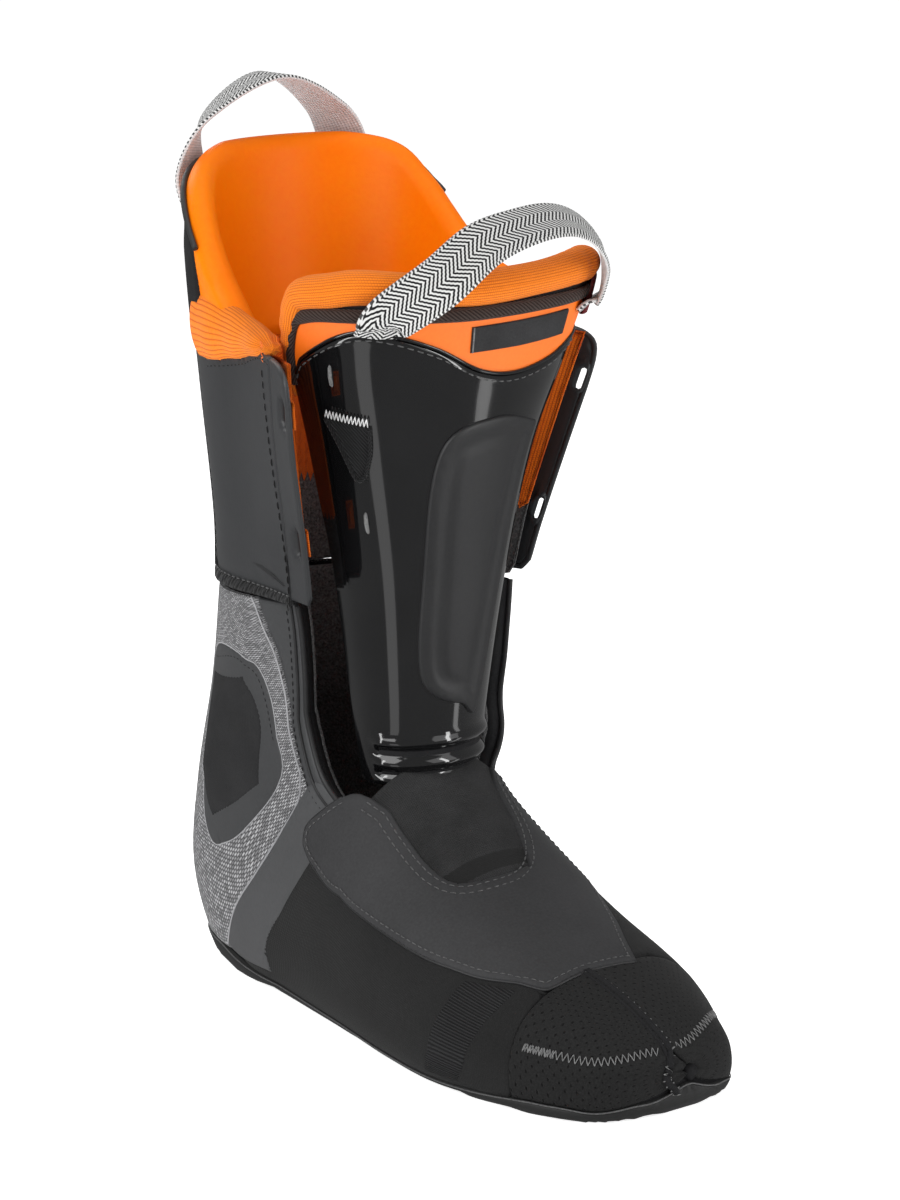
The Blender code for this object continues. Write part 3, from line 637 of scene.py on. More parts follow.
def inside(loop, points):
    """Which points lie inside a closed outline."""
    x, y = points[:, 0][:, None], points[:, 1][:, None]
    x0, y0 = loop[:, 0], loop[:, 1]
    x1, y1 = np.roll(x0, -1), np.roll(y0, -1)
    with np.errstate(divide="ignore", invalid="ignore"):
        hit = ((y0 > y) != (y1 > y)) & (x < (x1 - x0) * (y - y0) / (y1 - y0) + x0)
    return hit.sum(1) % 2 == 1


def on_cloth(loops, points):
    """Which points lie inside the first outline and outside the holes after it."""
    return inside(loops[0], points) & ~np.any([inside(hole, points) for hole in loops[1:]], axis=0)


def edge_distance(skin, loops, uv):
    """Distance in mm from surface coordinates to the nearest outline."""
    at = skin.at(*uv.T)
    best = np.full(len(uv), 1e9)
    for loop in loops:
        a = skin.at(*loop.T)
        b = np.roll(a, -1, axis=0)
        for start in range(0, len(at), 400):
            p = at[start:start + 400, None]
            along = ((p - a) * (b - a)).sum(-1) / np.maximum(((b - a) ** 2).sum(-1), 1e-9)
            near = a + np.clip(along, 0, 1)[..., None] * (b - a)
            nearest = np.linalg.norm(p - near, axis=-1).min(1)
            best[start:start + 400] = np.minimum(best[start:start + 400], nearest)
    return best


def inset(skin, loop, distance):
    """The outline moved inward over the surface, by millimetres."""
    tangent = unit(skin.at(*np.roll(loop, -1, 0).T) - skin.at(*np.roll(loop, 1, 0).T))
    inward = np.cross(skin.normal(*loop.T), tangent) * distance
    move = np.stack(skin.shift(*loop.T, inward), 1)
    return loop + move if inside(loop, loop + move).mean() >= 0.5 else loop - move


def rounded(distance, radius):
    """0 at an edge, 1 at radius from it, along a quarter circle."""
    k = np.clip(distance / radius, 0, 1)
    return np.sqrt(1 - (1 - k) ** 2)


EDGE_SINK = 0.3  # how far a sewn edge is pressed into what lies under it, in mm


def patch(name, skin, outline, d, thickness, material, body="liner", holes=(), grid=4.5, edge=0.9,
          corners=None, shape=None, step=2.2, solid=0.0):
    """A sewn-on piece inside an outline of surface coordinates. Its top is at d + thickness and
    its edge rolls down to d. shape(uv, points, distance) adds its own relief, in mm. grid is the
    spacing of its mesh, step that of its outline, and solid gives it a thickness downwards."""
    corners = tuple(range(len(outline))) if corners is None else corners
    loops = [on_skin(skin, outline, step, True, corners)]
    loops += [on_skin(skin, hole, step * 0.6, True) for hole in holes]
    edges, extra, first = [], [], 0
    for loop in loops:
        count = len(loop)
        edges += [(first + k, first + (k + 1) % count) for k in range(count)]
        first += count
        for part in (0.12, 0.4, 1.0):
            ring = inset(skin, loop, edge * part)
            extra.append(ring[inside(loops[0], ring)])
    low, high = loops[0].min(0), loops[0].max(0)
    middle = (low + high) / 2
    us, vs = np.linspace(low, high, 161).T
    run_u = lengths(skin.at(us, middle[1]))[-1]
    run_v = max(lengths(skin.at(u, vs))[-1] for u in np.linspace(low[0], high[0], 7))
    spread = [np.linspace(a, b, max(3, int(run / grid))) for a, b, run in zip(low, high, (run_u, run_v))]
    inner = np.stack([x.ravel() for x in np.meshgrid(*spread)], 1) + 1e-5
    inner = inner[on_cloth(loops, inner)]
    inner = inner[edge_distance(skin, loops, inner) > edge * 1.3 + 0.5]
    scale = np.array([run_u, run_v]) / np.maximum(high - low, 1e-6)
    flat_in = np.vstack([*loops, *extra, inner]) * scale
    flat, _, faces, *_ = delaunay_2d_cdt([Vector(p) for p in flat_in], edges, [], 0, 1e-4)
    uv = np.array([tuple(p) for p in flat]) / scale
    centres = np.array([uv[list(f)].mean(0) for f in faces])
    faces = [list(f) for f, k in zip(faces, on_cloth(loops, centres)) if k]
    distance = edge_distance(skin, loops, uv)
    height = d - EDGE_SINK + (thickness + EDGE_SINK) * rounded(distance, edge)
    if shape is not None:
        height = height + shape(uv, skin.at(*uv.T), distance)
    placed = skin.at(*uv.T, height)
    normal = skin.normal(*uv.T)
    a, b, c = (placed[[f[k] for f in faces]] for k in range(3))
    facing = (np.cross(b - a, c - a) * normal[[f[0] for f in faces]]).sum(1)
    faces = [f if way > 0 else f[::-1] for f, way in zip(faces, facing)]
    used = sorted({k for f in faces for k in f})
    number = {k: i for i, k in enumerate(used)}
    faces = [[number[k] for k in f] for f in faces]
    obj = from_arrays(name, placed[used], faces, material, body, uv=(uv[used] * scale) * 0.001)
    if solid:
        rim = obj.modifiers.new("Thickness", "SOLIDIFY")
        rim.thickness = solid * 0.001
        rim.offset = -1
        graph = bpy.context.evaluated_depsgraph_get()
        obj.data = bpy.data.meshes.new_from_object(obj.evaluated_get(graph))
        obj.modifiers.clear()
    return obj


def tube(name, path, radius, material, body="liner", closed=False, flat=1.0, normals=None):
    """A cord-like edge along points in mm. flat squeezes it along the normals."""
    sides = 8
    path = np.asarray(path, float)
    if closed:
        tangent = np.roll(path, -1, 0) - np.roll(path, 1, 0)
    else:
        tangent = np.gradient(path, axis=0)
    tangent = unit(tangent)
    if normals is None:
        normals = np.zeros_like(path) + (0, 0, 1)
        normals[abs(tangent[:, 2]) > 0.9] = (1, 0, 0)
    side = unit(np.cross(tangent, normals))
    up = np.cross(side, tangent)
    turn = np.linspace(0, 2 * math.pi, sides, endpoint=False)
    ring = side[:, None] * np.cos(turn)[:, None] + up[:, None] * np.sin(turn)[:, None] * flat
    points = (path[:, None] + ring * radius).reshape(-1, 3)
    faces = strip_faces(len(path), sides, closed, True)
    if not closed:
        faces += [list(range(sides))[::-1],
                  [len(points) - sides + k for k in range(sides)]]
    uv = np.stack([np.repeat(lengths(path), sides), np.tile(turn * radius, len(path))], 1) * 0.001
    return from_arrays(name, points, faces, material, body, uv=uv, turn=2 * math.pi * radius * 0.001)


def capsules(name, starts, ends, normals, radius, material, body="liner"):
    """Many short threads as one mesh. Each bows up a little in its middle."""
    starts, ends, normals = (np.asarray(x, float) for x in (starts, ends, normals))
    along = ends - starts
    length = np.linalg.norm(along, axis=1, keepdims=True)
    along = along / np.maximum(length, 1e-9)
    side = unit(np.cross(along, normals))
    up = np.cross(side, along)
    # where along the thread, how thick and how high
    stations = ((0, 0.35, -0.55), (0.12, 0.85, 0.0), (0.5, 1.0, 0.35), (0.88, 0.85, 0.0), (1, 0.35, -0.55))
    turn = np.linspace(0, 2 * math.pi, 6, endpoint=False)
    points = []
    for at, wide, lift in stations:
        centre = starts + along * length * at + up * radius * lift
        for angle in turn:
            points.append(centre + (side * math.cos(angle) + up * math.sin(angle)) * radius * wide)
    points = np.array(points).transpose(1, 0, 2)
    count = points.shape[1]
    base = np.array(strip_faces(len(stations), 6, False, True))
    faces = []
    for k in range(len(starts)):
        faces += (base + k * count).tolist()
        faces += [[k * count + x for x in reversed(range(6))],
                  [(k + 1) * count - 6 + x for x in range(6)]]
    return from_arrays(name, points.reshape(-1, 3), faces, material, body)


def stitches(name, skin, path, d, material, body="liner", long=2.6, gap=1.3, radius=0.32, zigzag=0.0):
    """A row of thread over a surface. With zigzag, the threads lean from side to side, in mm."""
    line = on_skin(skin, path, gap + 0.9 if zigzag else (long + gap) / 2)
    here, normal = skin.at(*line.T, d), skin.normal(*line.T)
    if zigzag:
        side = unit(np.cross(normal, np.gradient(here, axis=0)))
        way = np.where(np.arange(len(line)) % 2, 1, -1)[:, None]
        points = here + side * way * zigzag / 2
        return capsules(name, points[:-1], points[1:], normal[:-1], radius, material, body)
    count = len(here) // 2
    first, last = here[0:2 * count:2], here[1::2]
    middle, half = (first + last) / 2, unit(last - first) * long / 2
    return capsules(name, middle - half, middle + half, normal[0:2 * count:2], radius, material, body)


def eased(count, ends=0.9):
    """0..1, closer together towards both ends."""
    t = np.linspace(0, 1, count)
    return t - ends * np.sin(2 * math.pi * t) / (2 * math.pi)


def wall(name, skin, low, high, vs, rows, outer, inner, material, body="liner",
         soft=(1, 1, 1, 1), relief=None):
    """A closed sheet or pad between two edges of a skin. low and high give u for each v, and
    outer and inner are offsets in mm. soft is how far the rounding reaches in from the low, high,
    first and last edges. relief(u, v, up, around, full) adds to the outside, in mm."""
    vs = np.asarray(vs, float)
    steps = eased(rows) if np.isscalar(rows) else np.asarray(rows)
    start, stop = np.broadcast_to(low(vs), vs.shape), np.broadcast_to(high(vs), vs.shape)
    uu = start + (stop - start) * steps[:, None]
    vv = np.broadcast_to(vs, uu.shape)
    middle, half = (outer + inner) / 2, (outer - inner) / 2
    here = skin.at(uu, vv, middle)
    up, around = lengths(here), lengths(here.swapaxes(0, 1)).T
    ends = (up, up[-1] - up, around, around[:, -1:] - around)
    rounding = np.minimum.reduce([rounded(run, max(reach, 0.02)) for run, reach in zip(ends, soft)])
    extra = relief(uu, vv, up, around, up[-1]) if relief else 0
    top = skin.at(uu, vv, middle + (half + extra) * rounding)
    under = skin.at(uu, vv, middle - half * rounding)
    count_u, count_v = uu.shape
    number = np.arange(count_u * count_v).reshape(uu.shape)
    border = np.zeros(uu.shape, bool)
    border[[0, -1]] = border[:, [0, -1]] = True
    below = np.where(border, number, 0)
    below[~border] = count_u * count_v + np.arange((~border).sum())
    points = np.vstack([top.reshape(-1, 3), under[~border]])
    uv = np.stack([up, around], -1) * 0.001
    uv = np.vstack([uv.reshape(-1, 2), uv[~border]])
    faces, back = [], []
    for i in range(count_u - 1):
        for j in range(count_v - 1):
            corner = ((i, j), (i, j + 1), (i + 1, j + 1), (i + 1, j))
            faces.append([int(number[c]) for c in corner])
            back.append([int(below[c]) for c in reversed(corner)])
    a, b, c = (points[[f[k] for f in faces]] for k in (0, 1, 3))
    facing = np.cross(b - a, c - a)
    if (facing * skin.normal(uu[:-1, :-1].ravel(), vv[:-1, :-1].ravel())).sum() < 0:
        faces, back = [f[::-1] for f in faces], [f[::-1] for f in back]
    return from_arrays(name, points, faces + back, material, body, uv=uv)


def roll(name, centres, outs, wide, tall, material, bulk, body="liner", tip=5.0):
    """A stuffed tube. wide is its half thickness along outs and tall across them, and tip is how
    far its round ends reach. bulk(length, angle, full) swells or pinches it, as a factor."""
    tangent = unit(np.gradient(centres, axis=0))
    outs = unit(outs - (outs * tangent).sum(1, keepdims=True) * tangent)
    ups = np.cross(tangent, outs)
    run = lengths(centres)
    sides = 36
    turn = np.linspace(0, 2 * math.pi, sides, endpoint=False)
    end = np.minimum(rounded(run, tip), rounded(run[-1] - run, tip))[:, None]
    size = np.maximum(end, 0.02) * bulk(run[:, None], turn[None], run[-1])
    wide, tall = (np.broadcast_to(np.asarray(x, float), run.shape)[:, None] for x in (wide, tall))
    points = (centres[:, None] + outs[:, None] * (np.cos(turn) * wide * size)[..., None]
              + ups[:, None] * (np.sin(turn) * tall * size)[..., None])
    faces = strip_faces(len(run), sides, False, True)
    count = len(run) * sides
    faces += [list(range(sides))[::-1], list(range(count - sides, count))]
    uv = np.stack([np.repeat(run, sides), np.tile(turn * float(wide.mean()), len(run))], 1) * 0.001
    obj = from_arrays(name, points.reshape(-1, 3), faces, material, body, uv=uv,
                      turn=2 * math.pi * float(wide.mean()) * 0.001)
    outward = (np.array([v.normal for v in obj.data.vertices])
               * (points - centres[:, None]).reshape(-1, 3)).sum()
    if outward < 0:
        obj.data.flip_normals()
    return obj


STRAP_WIDTH, STRAP_THICK = 20.0, 1.9


def strap(name, points, ways, body):
    """Flat webbing with rounded edges along points; ways point across it."""
    both = spline(np.hstack([np.asarray(points, float), np.asarray(ways, float) * 10]), 1.5)
    path, across = both[:, :3], both[:, 3:]
    tangent = unit(np.gradient(path, axis=0))
    across = unit(across - (across * tangent).sum(1, keepdims=True) * tangent)
    out = np.cross(tangent, across)
    steps = eased(13, 0.7)
    side = (steps - 0.5) * STRAP_WIDTH
    half = STRAP_THICK / 2 * rounded(np.minimum(steps, 1 - steps) * STRAP_WIDTH, STRAP_THICK * 0.7)
    face = path[:, None] + across[:, None] * side[:, None]
    outer = face + out[:, None] * half[:, None]
    inner = face - out[:, None] * half[:, None]
    count = len(steps)
    run = np.repeat(lengths(path), count)
    uv = np.stack([run, np.tile(steps * STRAP_WIDTH, len(path))], 1) * 0.001
    faces = strip_faces(len(path), count)
    points = np.concatenate([outer.reshape(-1, 3), inner.reshape(-1, 3)])
    back = [[len(run) + k for k in reversed(f)] for f in faces]
    obj = from_arrays(name, points, faces + back, HERRINGBONE, body, uv=np.vstack([uv, uv]))
    obj.data.materials.append(WEBBING_INSIDE)
    for face in obj.data.polygons[len(faces):]:
        face.material_index = 1
    mesh = bmesh.new()
    mesh.from_mesh(obj.data)
    bmesh.ops.remove_doubles(mesh, verts=mesh.verts, dist=1e-5)
    mesh.to_mesh(obj.data)
    mesh.free()
    return stand_in(obj, "webbing", body)


def edging(name, skin, path, d, radius, material, body="liner", closed=False, corners=(), flat=1.0,
           step=1.5):
    """A piping or raised edge line that follows a path over a skin. The pale edge lines along the films carry
    a painted highlight.
    """
    line = on_skin(skin, path, step, closed, corners)
    return tube(name, skin.at(*line.T, d), radius, material, body, closed, flat, skin.normal(*line.T))


def stand_in(obj, slot, *nodes, fill=None, held=None, on=(), layers=1):
    """Hides the CAD nodes that a piece stands for and gives the piece back. For a sheet (held) it works out
    its developed size and area, but keeps neither. slot and fill are not used."""
    if nodes:
        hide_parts(*nodes)
    if held:
        data = obj.data
        uv = np.zeros(len(data.loops) * 2)
        data.uv_layers[0].data.foreach_get("uv", uv)
        size = np.ptp(uv.reshape(-1, 2), axis=0)
        area = sum(p.area for p in data.polygons) / layers
        flat = [round(float(x), 3) for x in size]
        area = min(area, flat[0] * flat[1])
    return obj


def sewn(node, suffix, slot, on, skin, outline, d, thickness, material, held="stretched", **how):
    """A sewn sheet that stands for the CAD solid node and lies on another piece."""
    obj = patch(f"{node}_{suffix}", skin, outline, d, thickness, material, **how)
    return stand_in(obj, slot, node, held=held, on=[on])


def level(height):
    """An edge for wall() that stays at one height."""
    return lambda v: 0 * v + height


# Camera, lights and floor ---------------------------------------------------------------------

def aim(obj, azimuth, elevation, distance, target):
    """Puts obj at a direction from target, looking at it. Azimuth 0 is in front of the toe."""
    a, e = math.radians(azimuth), math.radians(elevation)
    way = Vector((math.sin(a) * math.cos(e), -math.cos(a) * math.cos(e), math.sin(e)))
    obj.location = Vector(target) + way * distance
    obj.rotation_euler = (-way).to_track_quat("-Z", "Y").to_euler()
    bpy.context.scene.collection.objects.link(obj)


def add_camera():
    data = bpy.data.cameras.new("camera")
    data.sensor_fit = "VERTICAL"
    data.sensor_height = 36
    data.lens = 116.4
    camera = bpy.data.objects.new("camera", data)
    aim(camera, -38, 13.7, 1.5, (0.0058, 0.0021, 0.16575))
    bpy.context.scene.camera = camera


# name, azimuth, elevation, distance, width, height, power
LIGHTS = (
    ("key", -80, 38, 1.5, 1.0, 1.0, 8.5),
    ("fill", 25, 25, 1.7, 1.2, 1.2, 4.5),
    ("top", 0, 88, 1.3, 1.2, 1.2, 5.5),
    ("left_strip", -92, 12, 1.1, 0.14, 1.1, 3.4),
    ("right_strip", 28, 12, 1.1, 0.12, 1.1, 3.4),
    ("low_left", -63, -28, 1.1, 0.3, 0.7, 0.5),
    ("low_right", 44, -25, 1.1, 0.12, 0.8, 0.5),
    ("rear", 170, 30, 1.5, 1.0, 0.8, 5),
)


def add_lights():
    for name, azimuth, elevation, distance, wide, tall, power in LIGHTS:
        data = bpy.data.lights.new(name, "AREA")
        data.shape = "RECTANGLE"
        data.size = wide
        data.size_y = tall
        data.energy = power
        aim(bpy.data.objects.new(name, data), azimuth, elevation, distance, (0, 0, 0.18))


def add_world():
    """Soft light from all round, and plain white where the camera looks past the floor."""
    world = bpy.data.worlds.new("studio")
    bpy.context.scene.world = world
    world.use_nodes = True
    tree = world.node_tree
    soft = tree.nodes["Background"]
    plain = tree.nodes.new("ShaderNodeBackground")
    for node, strength in ((soft, 0.25), (plain, 1.0)):
        node.inputs["Color"].default_value = (1, 1, 1, 1)
        node.inputs["Strength"].default_value = strength
    path = tree.nodes.new("ShaderNodeLightPath")
    mix = tree.nodes.new("ShaderNodeMixShader")
    tree.links.new(path.outputs["Is Camera Ray"], mix.inputs[0])
    tree.links.new(soft.outputs[0], mix.inputs[1])
    tree.links.new(plain.outputs[0], mix.inputs[2])
    tree.links.new(mix.outputs[0], tree.nodes["World Output"].inputs["Surface"])


def add_floor():
    data = bpy.data.meshes.new("floor")
    data.from_pydata([(-6, -6, 0), (6, -6, 0), (6, 6, 0), (-6, 6, 0)], [], [(0, 1, 2, 3)])
    floor = bpy.data.objects.new("floor", data)
    bpy.context.scene.collection.objects.link(floor)
    n = Nodes("pale_floor", 0.9)
    n.shader.inputs["Base Color"].default_value = (0.93, 0.93, 0.93, 1)
    n.shader.inputs["Emission Color"].default_value = (1, 1, 1, 1)
    n.shader.inputs["Emission Strength"].default_value = 0.8
    data.materials.append(n.material)
    floor.visible_glossy = False


add_camera()
add_lights()
add_world()
add_floor()
bpy.context.scene.view_settings.view_transform = "Standard"

# A side's name, the sign of its coordinate and what turns a lateral outline into its own
SIDES = (("lateral", -1, list), ("medial", 1, mirrored))


# Foot -----------------------------------------------------------------------------------------

# Lines on the foot, as (u, s): half the sole, the toe seams, then the lateral side of the ankle
SOLE_EDGE = [(0.025, 0.80), (0.038, 0.715), (0.08, 0.635), (0.12, 0.632), (0.155, 0.652), (0.2, 0.680),
             (0.25, 0.705), (0.34, 0.733), (0.42, 0.752), (0.48, 0.742), (0.525, 0.715), (0.545, 0.76),
             (0.56, 0.86), (0.568, 1.0)]
TOE_LINE = [(0.15, -0.3), (0.146, -0.100), (0.15, 0.1), (0.155, 0.3)]
TOE_SEAM = [(0.147, -0.100), (0.12, -0.093), (0.07, -0.108), (0.033, -0.142), (0.002, -0.24)]
ZIGZAG_L = [(0.14, -0.50), (0.107, -0.483), (0.06, -0.455), (0.036, -0.39), (0.025, -0.27)]
ZIGZAG_M = [(0.021, -0.10), (0.028, 0.12), (0.055, 0.34), (0.09, 0.46)]
BAND_EDGE = [(0.522, -0.40), (0.55, -0.392), (0.62, -0.402), (0.69, -0.43), (0.745, -0.46), (0.8, -0.48)]
FILM = [(0.73, -0.68), (0.71, -0.507), (0.595, -0.433), (0.56, -0.453), (0.565, -0.573), (0.595, -0.64)]
PAD = [(0.712, -0.66), (0.69, -0.51), (0.62, -0.475), (0.575, -0.487), (0.59, -0.605), (0.64, -0.67)]
SIDE_FILM = [(0.49, -0.7), (0.497, -0.61), (0.485, -0.5), (0.475, -0.42), (0.47, -0.365), (0.53, -0.365),
             (0.535, -0.43), (0.53, -0.5), (0.534, -0.6), (0.53, -0.7)]
THROAT_S = 0.357


def sock(name, first, last, rows, outer, inner, material, roughen=0.0):
    """A closed foot shape, open at the throat, with an outside and an inside."""
    us = np.linspace(first, last, rows)
    cols = np.concatenate([[-1], np.linspace(-1, -THROAT_S, 32)[1:],
                           np.linspace(-THROAT_S, THROAT_S, 30)[1:-1], np.linspace(THROAT_S, 1, 32)[:-1]])
    uu, vv = np.meshgrid(us, cols, indexing="ij")
    wave = roughen * np.sin(uu * 310 + 3 * np.sin(vv * 21)) * np.sin(vv * 83)
    points = [foot.at(uu, vv, offset + wave).reshape(-1, 3) for offset in (outer, inner)]
    count = len(cols)
    up = np.broadcast_to(lengths(foot.at(uu, vv))[:, :1], uu.shape)
    around = lengths(foot.at(uu, vv).swapaxes(0, 1)).T
    uv = np.tile(np.stack([up, around], -1).reshape(-1, 2) * 0.001, (2, 1))
    faces, total = [], rows * count
    for i in range(rows - 1):
        for j in range(count):
            k = (j + 1) % count
            if us[i] >= 0.42 and abs(cols[j]) <= THROAT_S and abs(cols[k]) <= THROAT_S:
                continue
            quad = [i * count + j, i * count + k, (i + 1) * count + k, (i + 1) * count + j]
            faces += [quad, [total + q for q in reversed(quad)]]
    tip = [(i * total + np.arange(count)).tolist() for i in (0, 1)]
    faces += [tip[0][::-1], tip[1]]
    obj = from_arrays(name, np.vstack(points), faces, material, uv=uv)
    mesh = bmesh.new()
    mesh.from_mesh(obj.data)
    bmesh.ops.delete(mesh, geom=[v for v in mesh.verts if not v.link_faces], context="VERTS")
    mesh.verts.ensure_lookup_table()
    open_edges = [e for e in mesh.edges if len(e.link_faces) == 1]
    bmesh.ops.bridge_loops(mesh, edges=open_edges)
    bmesh.ops.recalc_face_normals(mesh, faces=mesh.faces)
    for face in mesh.faces:
        face.smooth = True
    mesh.to_mesh(obj.data)
    mesh.free()
    return obj


stand_in(sock("foot_foam_shell", 0.012, 0.797, 112, 0.2, -4.9, PANEL_FABRIC), "foam", "foot_foam", fill=1)
stand_in(sock("foot_fleece_lining", 0.06, 0.799, 110, -4.9, -6.6, BLACK_FLEECE, 0.25), "fleece",
         "foot_lining", fill=0.4)


def seam_rise(points, path, rise, reach):
    """A welt: extra height near a path on the foot."""
    line = on_skin(foot, path, 1.0)
    at = foot.at(*line.T)
    near = np.min(np.linalg.norm(points[:, None] - at[None], axis=2), axis=1)
    return rise * np.exp(-(near / reach) ** 2)


def toe_relief(uv, points, distance):
    """The welt of the centre seam stands up, and the zigzag seams pull the fabric down."""
    return seam_rise(points, TOE_SEAM, 1.1, 3.2) - seam_rise(points, ZIGZAG_L, 0.45, 1.6) \
        - seam_rise(points, ZIGZAG_M, 0.45, 1.6)


sole_side = [(0.002, 0.94), (0.02, 0.79), *SOLE_EDGE[1:5]]
toe_lateral = [*mirrored(sole_side), TOE_LINE[0], *TOE_SEAM]
toe_medial = [*sole_side, *reversed(TOE_LINE[2:]), *TOE_SEAM]
for node, outline, corners in (("toe_panel_lateral", toe_lateral, (0, 5, 7, 11)),
                               ("toe_panel_medial", toe_medial, (0, 5, 8, 12))):
    sewn(node, "fabric", "black_stretch", "foot_foam_shell", foot, outline, 0, 1.5, PERFORATED, edge=1.0,
         grid=2.6, shape=toe_relief, corners=corners)
cover_side = [*mirrored(SOLE_EDGE[4:10]), (0.516, -0.7), (0.518, -0.6), (0.516, -0.49), (0.512, -0.40),
              (0.43, -0.357), (0.395, -0.33), (0.337, -0.265)]
cover = [*TOE_LINE, *mirrored(cover_side), (0.321, 0), *reversed(cover_side)]
sewn("forefoot_cover", "neoprene", "black_stretch", "foot_foam_shell", foot, cover, 0, 1.4, NEOPRENE,
     edge=1.2, corners=())

elastic = [(0.222, -0.425), (0.172, -0.375), (0.178, -0.44), (0.19, -0.52), (0.205, -0.60), (0.215, -0.66),
           (0.262, -0.68), (0.25, -0.60), (0.232, -0.50)]
stand_in(patch("elastic_patch", foot, elastic, 1.15, 0.5, ELASTIC, edge=0.8, grid=3),
         "black_stretch", held="stretched", on=["forefoot_cover_neoprene"])

# The overlay's opening round the gusset, its whole outline, and the way of the stitches round the opening
OPENING = [(0.453, -0.283), (0.38, -0.275), (0.325, -0.260), (0.297, -0.205), (0.285, -0.06),
           (0.289, 0.065), (0.363, 0.167), (0.452, 0.245)]
VAMP_EDGE = [(0.150, -0.275), (0.160, -0.328), (0.203, -0.393), (0.24, -0.420), (0.28, -0.443),
             (0.357, -0.472), (0.427, -0.490), (0.490, -0.462), (0.505, -0.440), (0.507, -0.417),
             (0.490, -0.340), (0.477, -0.300), *OPENING, (0.448, 0.325), (0.407, 0.350), (0.317, 0.375),
             (0.27, 0.350), (0.213, 0.242), (0.177, 0.158), (0.143, 0.100), (0.147, -0.100)]
VAMP_LATERAL = [VAMP_EDGE[-1], *VAMP_EDGE[:11]]
VAMP_MEDIAL = VAMP_EDGE[20:]
STITCH_WAY = [(0.453, -0.283), (0.38, -0.275), (0.325, -0.260), (0.297, -0.205), (0.287, -0.09),
              (0.290, 0.0), (0.315, 0.085), (0.363, 0.165), (0.452, 0.245)]


def vamp_relief(uv, points, distance):
    """A faint bump low on the vamp, where the toes push it up, and a soft crease above."""
    u, v = uv.T
    return 0.5 * bell(u, 0.24, 0.05) * bell(v, 0.0, 0.2) - 0.35 * bell(u, 0.325, 0.012) * bell(v, -0.38, 0.06)


sewn("vamp_overlay", "microfibre", "charcoal_pu", "forefoot_cover_neoprene", foot, VAMP_EDGE, 1.3, 1.2,
     MICROFIBRE, edge=0.9, grid=3.5, shape=vamp_relief, corners=(7, 9, 12, 17, 19, 20, 26))
edging("vamp_edge_lateral", foot, VAMP_LATERAL, 1.5, 0.55, PIPING, flat=0.8)
edging("vamp_edge_medial", foot, VAMP_MEDIAL, 1.5, 0.55, PIPING, flat=0.8, corners=(6,))


def beside(skin, path, distance, corners=()):
    """A path moved sideways over its skin, in mm, to the right of its own direction when positive."""
    line = on_skin(skin, path, 2.0, False, corners)
    aside = np.cross(unit(np.gradient(skin.at(*line.T), axis=0)), skin.normal(*line.T)) * distance
    return line + np.stack(skin.shift(*line.T, aside), 1)


for k, gap in enumerate((2.3, 5.6)):
    stitches(f"gusset_stitches_{k + 1}", foot, beside(foot, STITCH_WAY, gap), 2.62, SOFT_THREAD, long=2.3,
             gap=1.1, radius=0.27)
for side, edge, corners in (("lateral", VAMP_LATERAL, (8, 10)), ("medial", VAMP_MEDIAL, (6,))):
    stitches(f"vamp_stitches_{side}", foot, beside(foot, edge, 2.6, corners), 2.6, SOFT_THREAD, long=2.0,
             gap=1.0, radius=0.25)

# Toe seams: zigzags across both halves, and a welt with overlock stitches down the middle
for name, line, d, gap, zigzag in (("lateral", ZIGZAG_L, 1.45, 0.25, 3.4),
                                   ("medial", ZIGZAG_M, 1.45, 0.25, 3.4),
                                   ("end", ZIGZAG_L[:2], 1.6, -0.35, 3.0)):
    stitches(f"toe_zigzag_{name}", foot, line, d, GREY_THREAD, gap=gap, radius=0.2, zigzag=zigzag)
upper_seam = on_skin(foot, [*TOE_SEAM[:4], (0.018, -0.2)], 1.5)
lower_seam = on_skin(foot, [(0.010, -0.45), (0.011, -0.65), (0.013, -0.86), (0.019, -0.93)], 1.5)
tip = foot.at(np.array([0.004, 0.012]), np.array([0.1, 0.93]), -1.9)
tip_out = foot.normal(np.array([0.004]), np.array([0.3]))
capsules("toe_tip_fold", tip[:1], tip[1:], tip_out, 3.6, PANEL_FABRIC)
for k, (aside, radius, d) in enumerate(((0, 1.5, 1.7), (2.1, 0.8, 1.8))):
    welt = np.vstack([foot.at(*beside(foot, upper_seam, aside).T, d), foot.at(*lower_seam.T, d)])
    tube(f"toe_seam_welt_{k + 1}", spline(welt[::2], 1.2), radius, PANEL_FABRIC)
seam_line = np.vstack([upper_seam, lower_seam])
seam_way = spline(foot.at(*seam_line.T, 2.6)[::2], 1.3)
seam_out = spline(foot.normal(*seam_line.T)[::2] * 20, 0.2)
pick = np.linspace(0, len(seam_out) - 1, len(seam_way)).astype(int)
seam_out = seam_out[pick]
aside = unit(np.cross(seam_out, np.gradient(seam_way, axis=0)))
zig = seam_way + aside * (np.where(np.arange(len(seam_way)) % 2, 1.9, -1.9))[:, None] - seam_out * 0.02
capsules("toe_seam_overlock", zig[:-1], zig[1:], seam_out[:-1], 0.19, GREY_THREAD)


# Gusset: it joins the vamp to the tongue
gusset_outline = [(0.458, -0.305), (0.38, -0.297), (0.318, -0.28), (0.285, -0.22), (0.272, -0.06),
                  (0.276, 0.09), (0.355, 0.19), (0.458, 0.27)]


def gusset_relief(uv, points, distance):
    """It dips under the tongue's shell, with fine creases across it."""
    u = uv[:, 0]
    return -0.6 * smooth(u, 0.42, 0.452) + 0.2 * np.sin(u * 160) * smooth(distance, 1, 5)


gusset = sewn("instep_gusset", "mesh", "black_stretch", "vamp_overlay_microfibre", foot, gusset_outline, 0.1,
              1.3, STRETCH, body=None, edge=0.8, grid=3, shape=gusset_relief, corners=(0, 5, 7))

